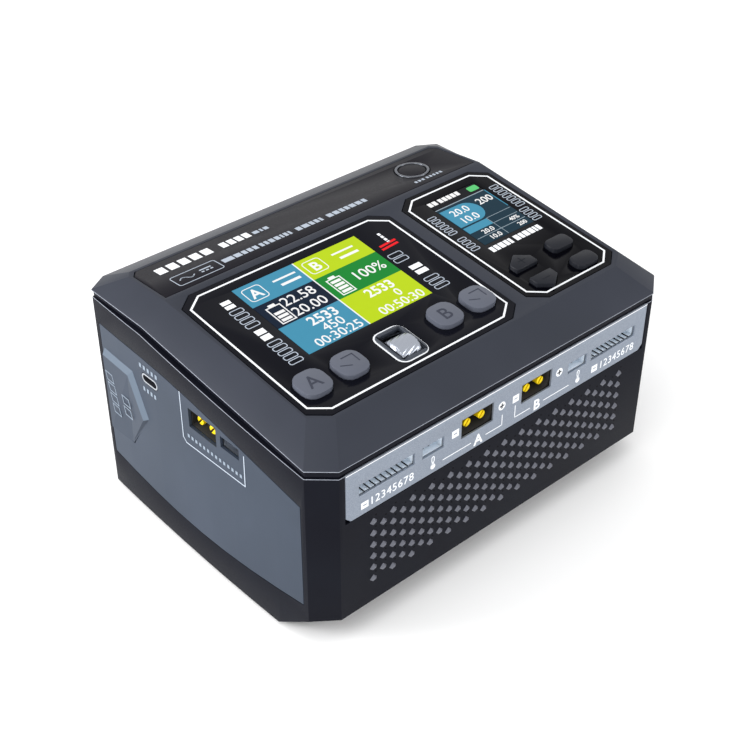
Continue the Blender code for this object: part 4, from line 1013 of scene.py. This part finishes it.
# Metallised ABS: a vapour coat of aluminium under lacquer, bright with a slight haze.
chrome = broken_gloss("metallised_abs", "a6abb5", 900.0, 0.14, 0.3, Metallic=0.85)
# The bezel: the keys' plastic a shade darker, so that the barrel stands out.
bezel_abs = recoloured(key_abs, "satin_bezel_abs", "3a3f48")
stand_for("wheel_bezel", 0.35 * MM, bezel_abs)

low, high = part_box("scroll_wheel")
WHEEL_MIDDLE = (low + high) / 2
WHEEL_R = (high.z - low.z) / 2
ROLLER_LONG = 9.4 * MM
WHEEL_RIBS = 24
RIB_TWIST = 1.6 / MM  # radians of a rib's wave along the barrel
RIB_DEPTH = 0.012
CROWN = 0.045
bpy.ops.mesh.primitive_cylinder_add(vertices=WHEEL_RIBS * 6, radius=WHEEL_R - 0.05 * MM, depth=ROLLER_LONG,
                                    location=WHEEL_MIDDLE, rotation=(0, math.pi / 2, 0))
roller = bpy.context.object
bpy.ops.object.transform_apply(location=False, rotation=True, scale=True)
bpy.ops.object.mode_set(mode="EDIT")
bpy.ops.mesh.select_mode(type="EDGE")
bpy.ops.mesh.select_all(action="DESELECT")
shape = bmesh.from_edit_mesh(roller.data)
for edge in shape.edges:
    edge.select_set(abs(edge.verts[0].co.x - edge.verts[1].co.x) > 5 * MM)
bmesh.update_edit_mesh(roller.data)
bpy.ops.mesh.subdivide(number_cuts=19)
bpy.ops.object.mode_set(mode="OBJECT")
for vertex in roller.data.vertices:
    turn = math.atan2(vertex.co.z, vertex.co.y)
    wave = math.cos(turn * WHEEL_RIBS + vertex.co.x * RIB_TWIST)
    crown = 1 - CROWN * (vertex.co.x * 2 / ROLLER_LONG) ** 4
    scale = crown * (1 - RIB_DEPTH * (1 - wave))
    vertex.co.y *= scale
    vertex.co.z *= scale
bpy.ops.object.transform_apply(location=True)
bpy.ops.object.shade_smooth()
settle(roller, "scroll_roller", chrome, "scroll_wheel")
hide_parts("scroll_wheel")
bpy.ops.mesh.primitive_cylinder_add(vertices=24, radius=1.25 * MM, depth=14.2 * MM, location=WHEEL_MIDDLE,
                                    rotation=(0, math.pi / 2, 0))
axle = bpy.context.object
chamfer_all(axle, 0.2 * MM, 2)
settle(axle, "scroll_roller_axle", zinc, "scroll_wheel")

# ----------------------------------------------------------
# Back: two axial fans behind slots, the mains inlet and the direct-current inlet.

for side in ("left", "right"):
    stand_for(f"fan_{side}_frame", 0.25 * MM, nylon, segments=2)
    stand_for(f"fan_{side}_rotor", 0.2 * MM, nylon, f"fan_{side}", segments=2,
              limit=40)
stand_for("mains_inlet", 0.25 * MM, nylon, segments=2)
stand_for("dc_inlet", 0.2 * MM, nylon, segments=2)

# ----------------------------------------------------------
# Inside: boards, the displays' backs, the heatsink and the wound parts, seen only in parts.

# Solder mask: green epoxy over the copper, whose tracks show through as paler lines.
solder_mask, tree, shader = new_material("green_solder_mask", "1d4a32", 0.4)
place = add_node(tree, "ShaderNodeTexCoord")
tracks = add_node(tree, "ShaderNodeTexBrick", [("Scale", 160.0)], [(place.outputs["Object"], "Vector")])
tracks.inputs["Color1"].default_value = linear("1a4630")
tracks.inputs["Color2"].default_value = linear("20553a")
tracks.inputs["Mortar"].default_value = linear("2c6a48")
tree.links.new(tracks.outputs["Color"], shader.inputs["Base Color"])

# Extruded aluminium: drawn lines make the reflection dull along the profile.
aluminium = broken_gloss("extruded_aluminium", "a7acb3", 1500.0, 0.28, 0.46, Metallic=1.0)

for node, surface in (
    ("control_board", solder_mask), ("power_board", solder_mask), ("heatsink", aluminium),
    ("transformer", nylon), ("bulk_capacitor", nylon), ("output_choke", gold), ("wheel_cradle", nylon),
    ("main_display_module", aluminium), ("supply_display_module", aluminium),
):
    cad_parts[node].data.materials.clear()
    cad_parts[node].data.materials.append(surface)

# ----------------------------------------------------------
# Studio: a pale floor, soft panels of light and the camera.

# Matt white card, so that the charger's shadow falls soft and pale.
floor_white = broken_gloss("studio_floor", "ffffff", 30.0, 0.85, 0.95)
bpy.ops.mesh.primitive_plane_add(size=8, location=(0, 0, -0.0002))
floor = bpy.context.object
floor.name = "studio_floor"
floor.data.materials.append(floor_white)

world = bpy.data.worlds.new("studio")
bpy.context.scene.world = world
world.use_nodes = True
world.node_tree.nodes["Background"].inputs["Color"].default_value = (1, 1, 1, 1)
world.node_tree.nodes["Background"].inputs["Strength"].default_value = 1.0


def panel_light(name, place, aim, size, power):
    data = bpy.data.lights.new(name, "AREA")
    data.shape = "RECTANGLE"
    data.size, data.size_y = size
    data.energy = power
    obj = bpy.data.objects.new(name, data)
    bpy.context.scene.collection.objects.link(obj)
    obj.location = place
    obj.rotation_euler = (Vector(aim) - Vector(place)).to_track_quat("-Z", "Y").to_euler()


panel_light("key_light", (-0.5, -0.2, 0.9), (0, 0, 0.05), (0.6, 0.6), 2.4)
panel_light("left_light", (-0.9, -0.25, 0.12), (-0.02, -0.05, 0.04), (0.3, 0.25), 2.2)
panel_light("left_back_light", (-0.85, 0.5, 0.35), (-0.05, 0.0, 0.05), (0.4, 0.3), 7)
panel_light("front_right_light", (0.55, -0.8, 0.3), (0.0, -0.05, 0.04), (0.4, 0.3), 2)

camera_data = bpy.data.cameras.new("camera")
camera_data.sensor_width = 36.0
camera_data.lens = 66.2
camera = bpy.data.objects.new("camera", camera_data)
bpy.context.scene.collection.objects.link(camera)
camera.location = (-301.6 * MM, -331.0 * MM, 372.8 * MM + LIFT)
TURN, RAISE, ROLL = math.radians(-42.0), math.radians(36.28), math.radians(0.18)
toward = Vector((-math.sin(TURN) * math.cos(RAISE), math.cos(TURN) * math.cos(RAISE), -math.sin(RAISE)))
camera.rotation_euler = toward.to_track_quat("-Z", "Y").to_euler()
camera.rotation_euler.rotate_axis("Z", ROLL)
bpy.context.scene.camera = camera
bpy.context.scene.view_settings.view_transform = "Standard"
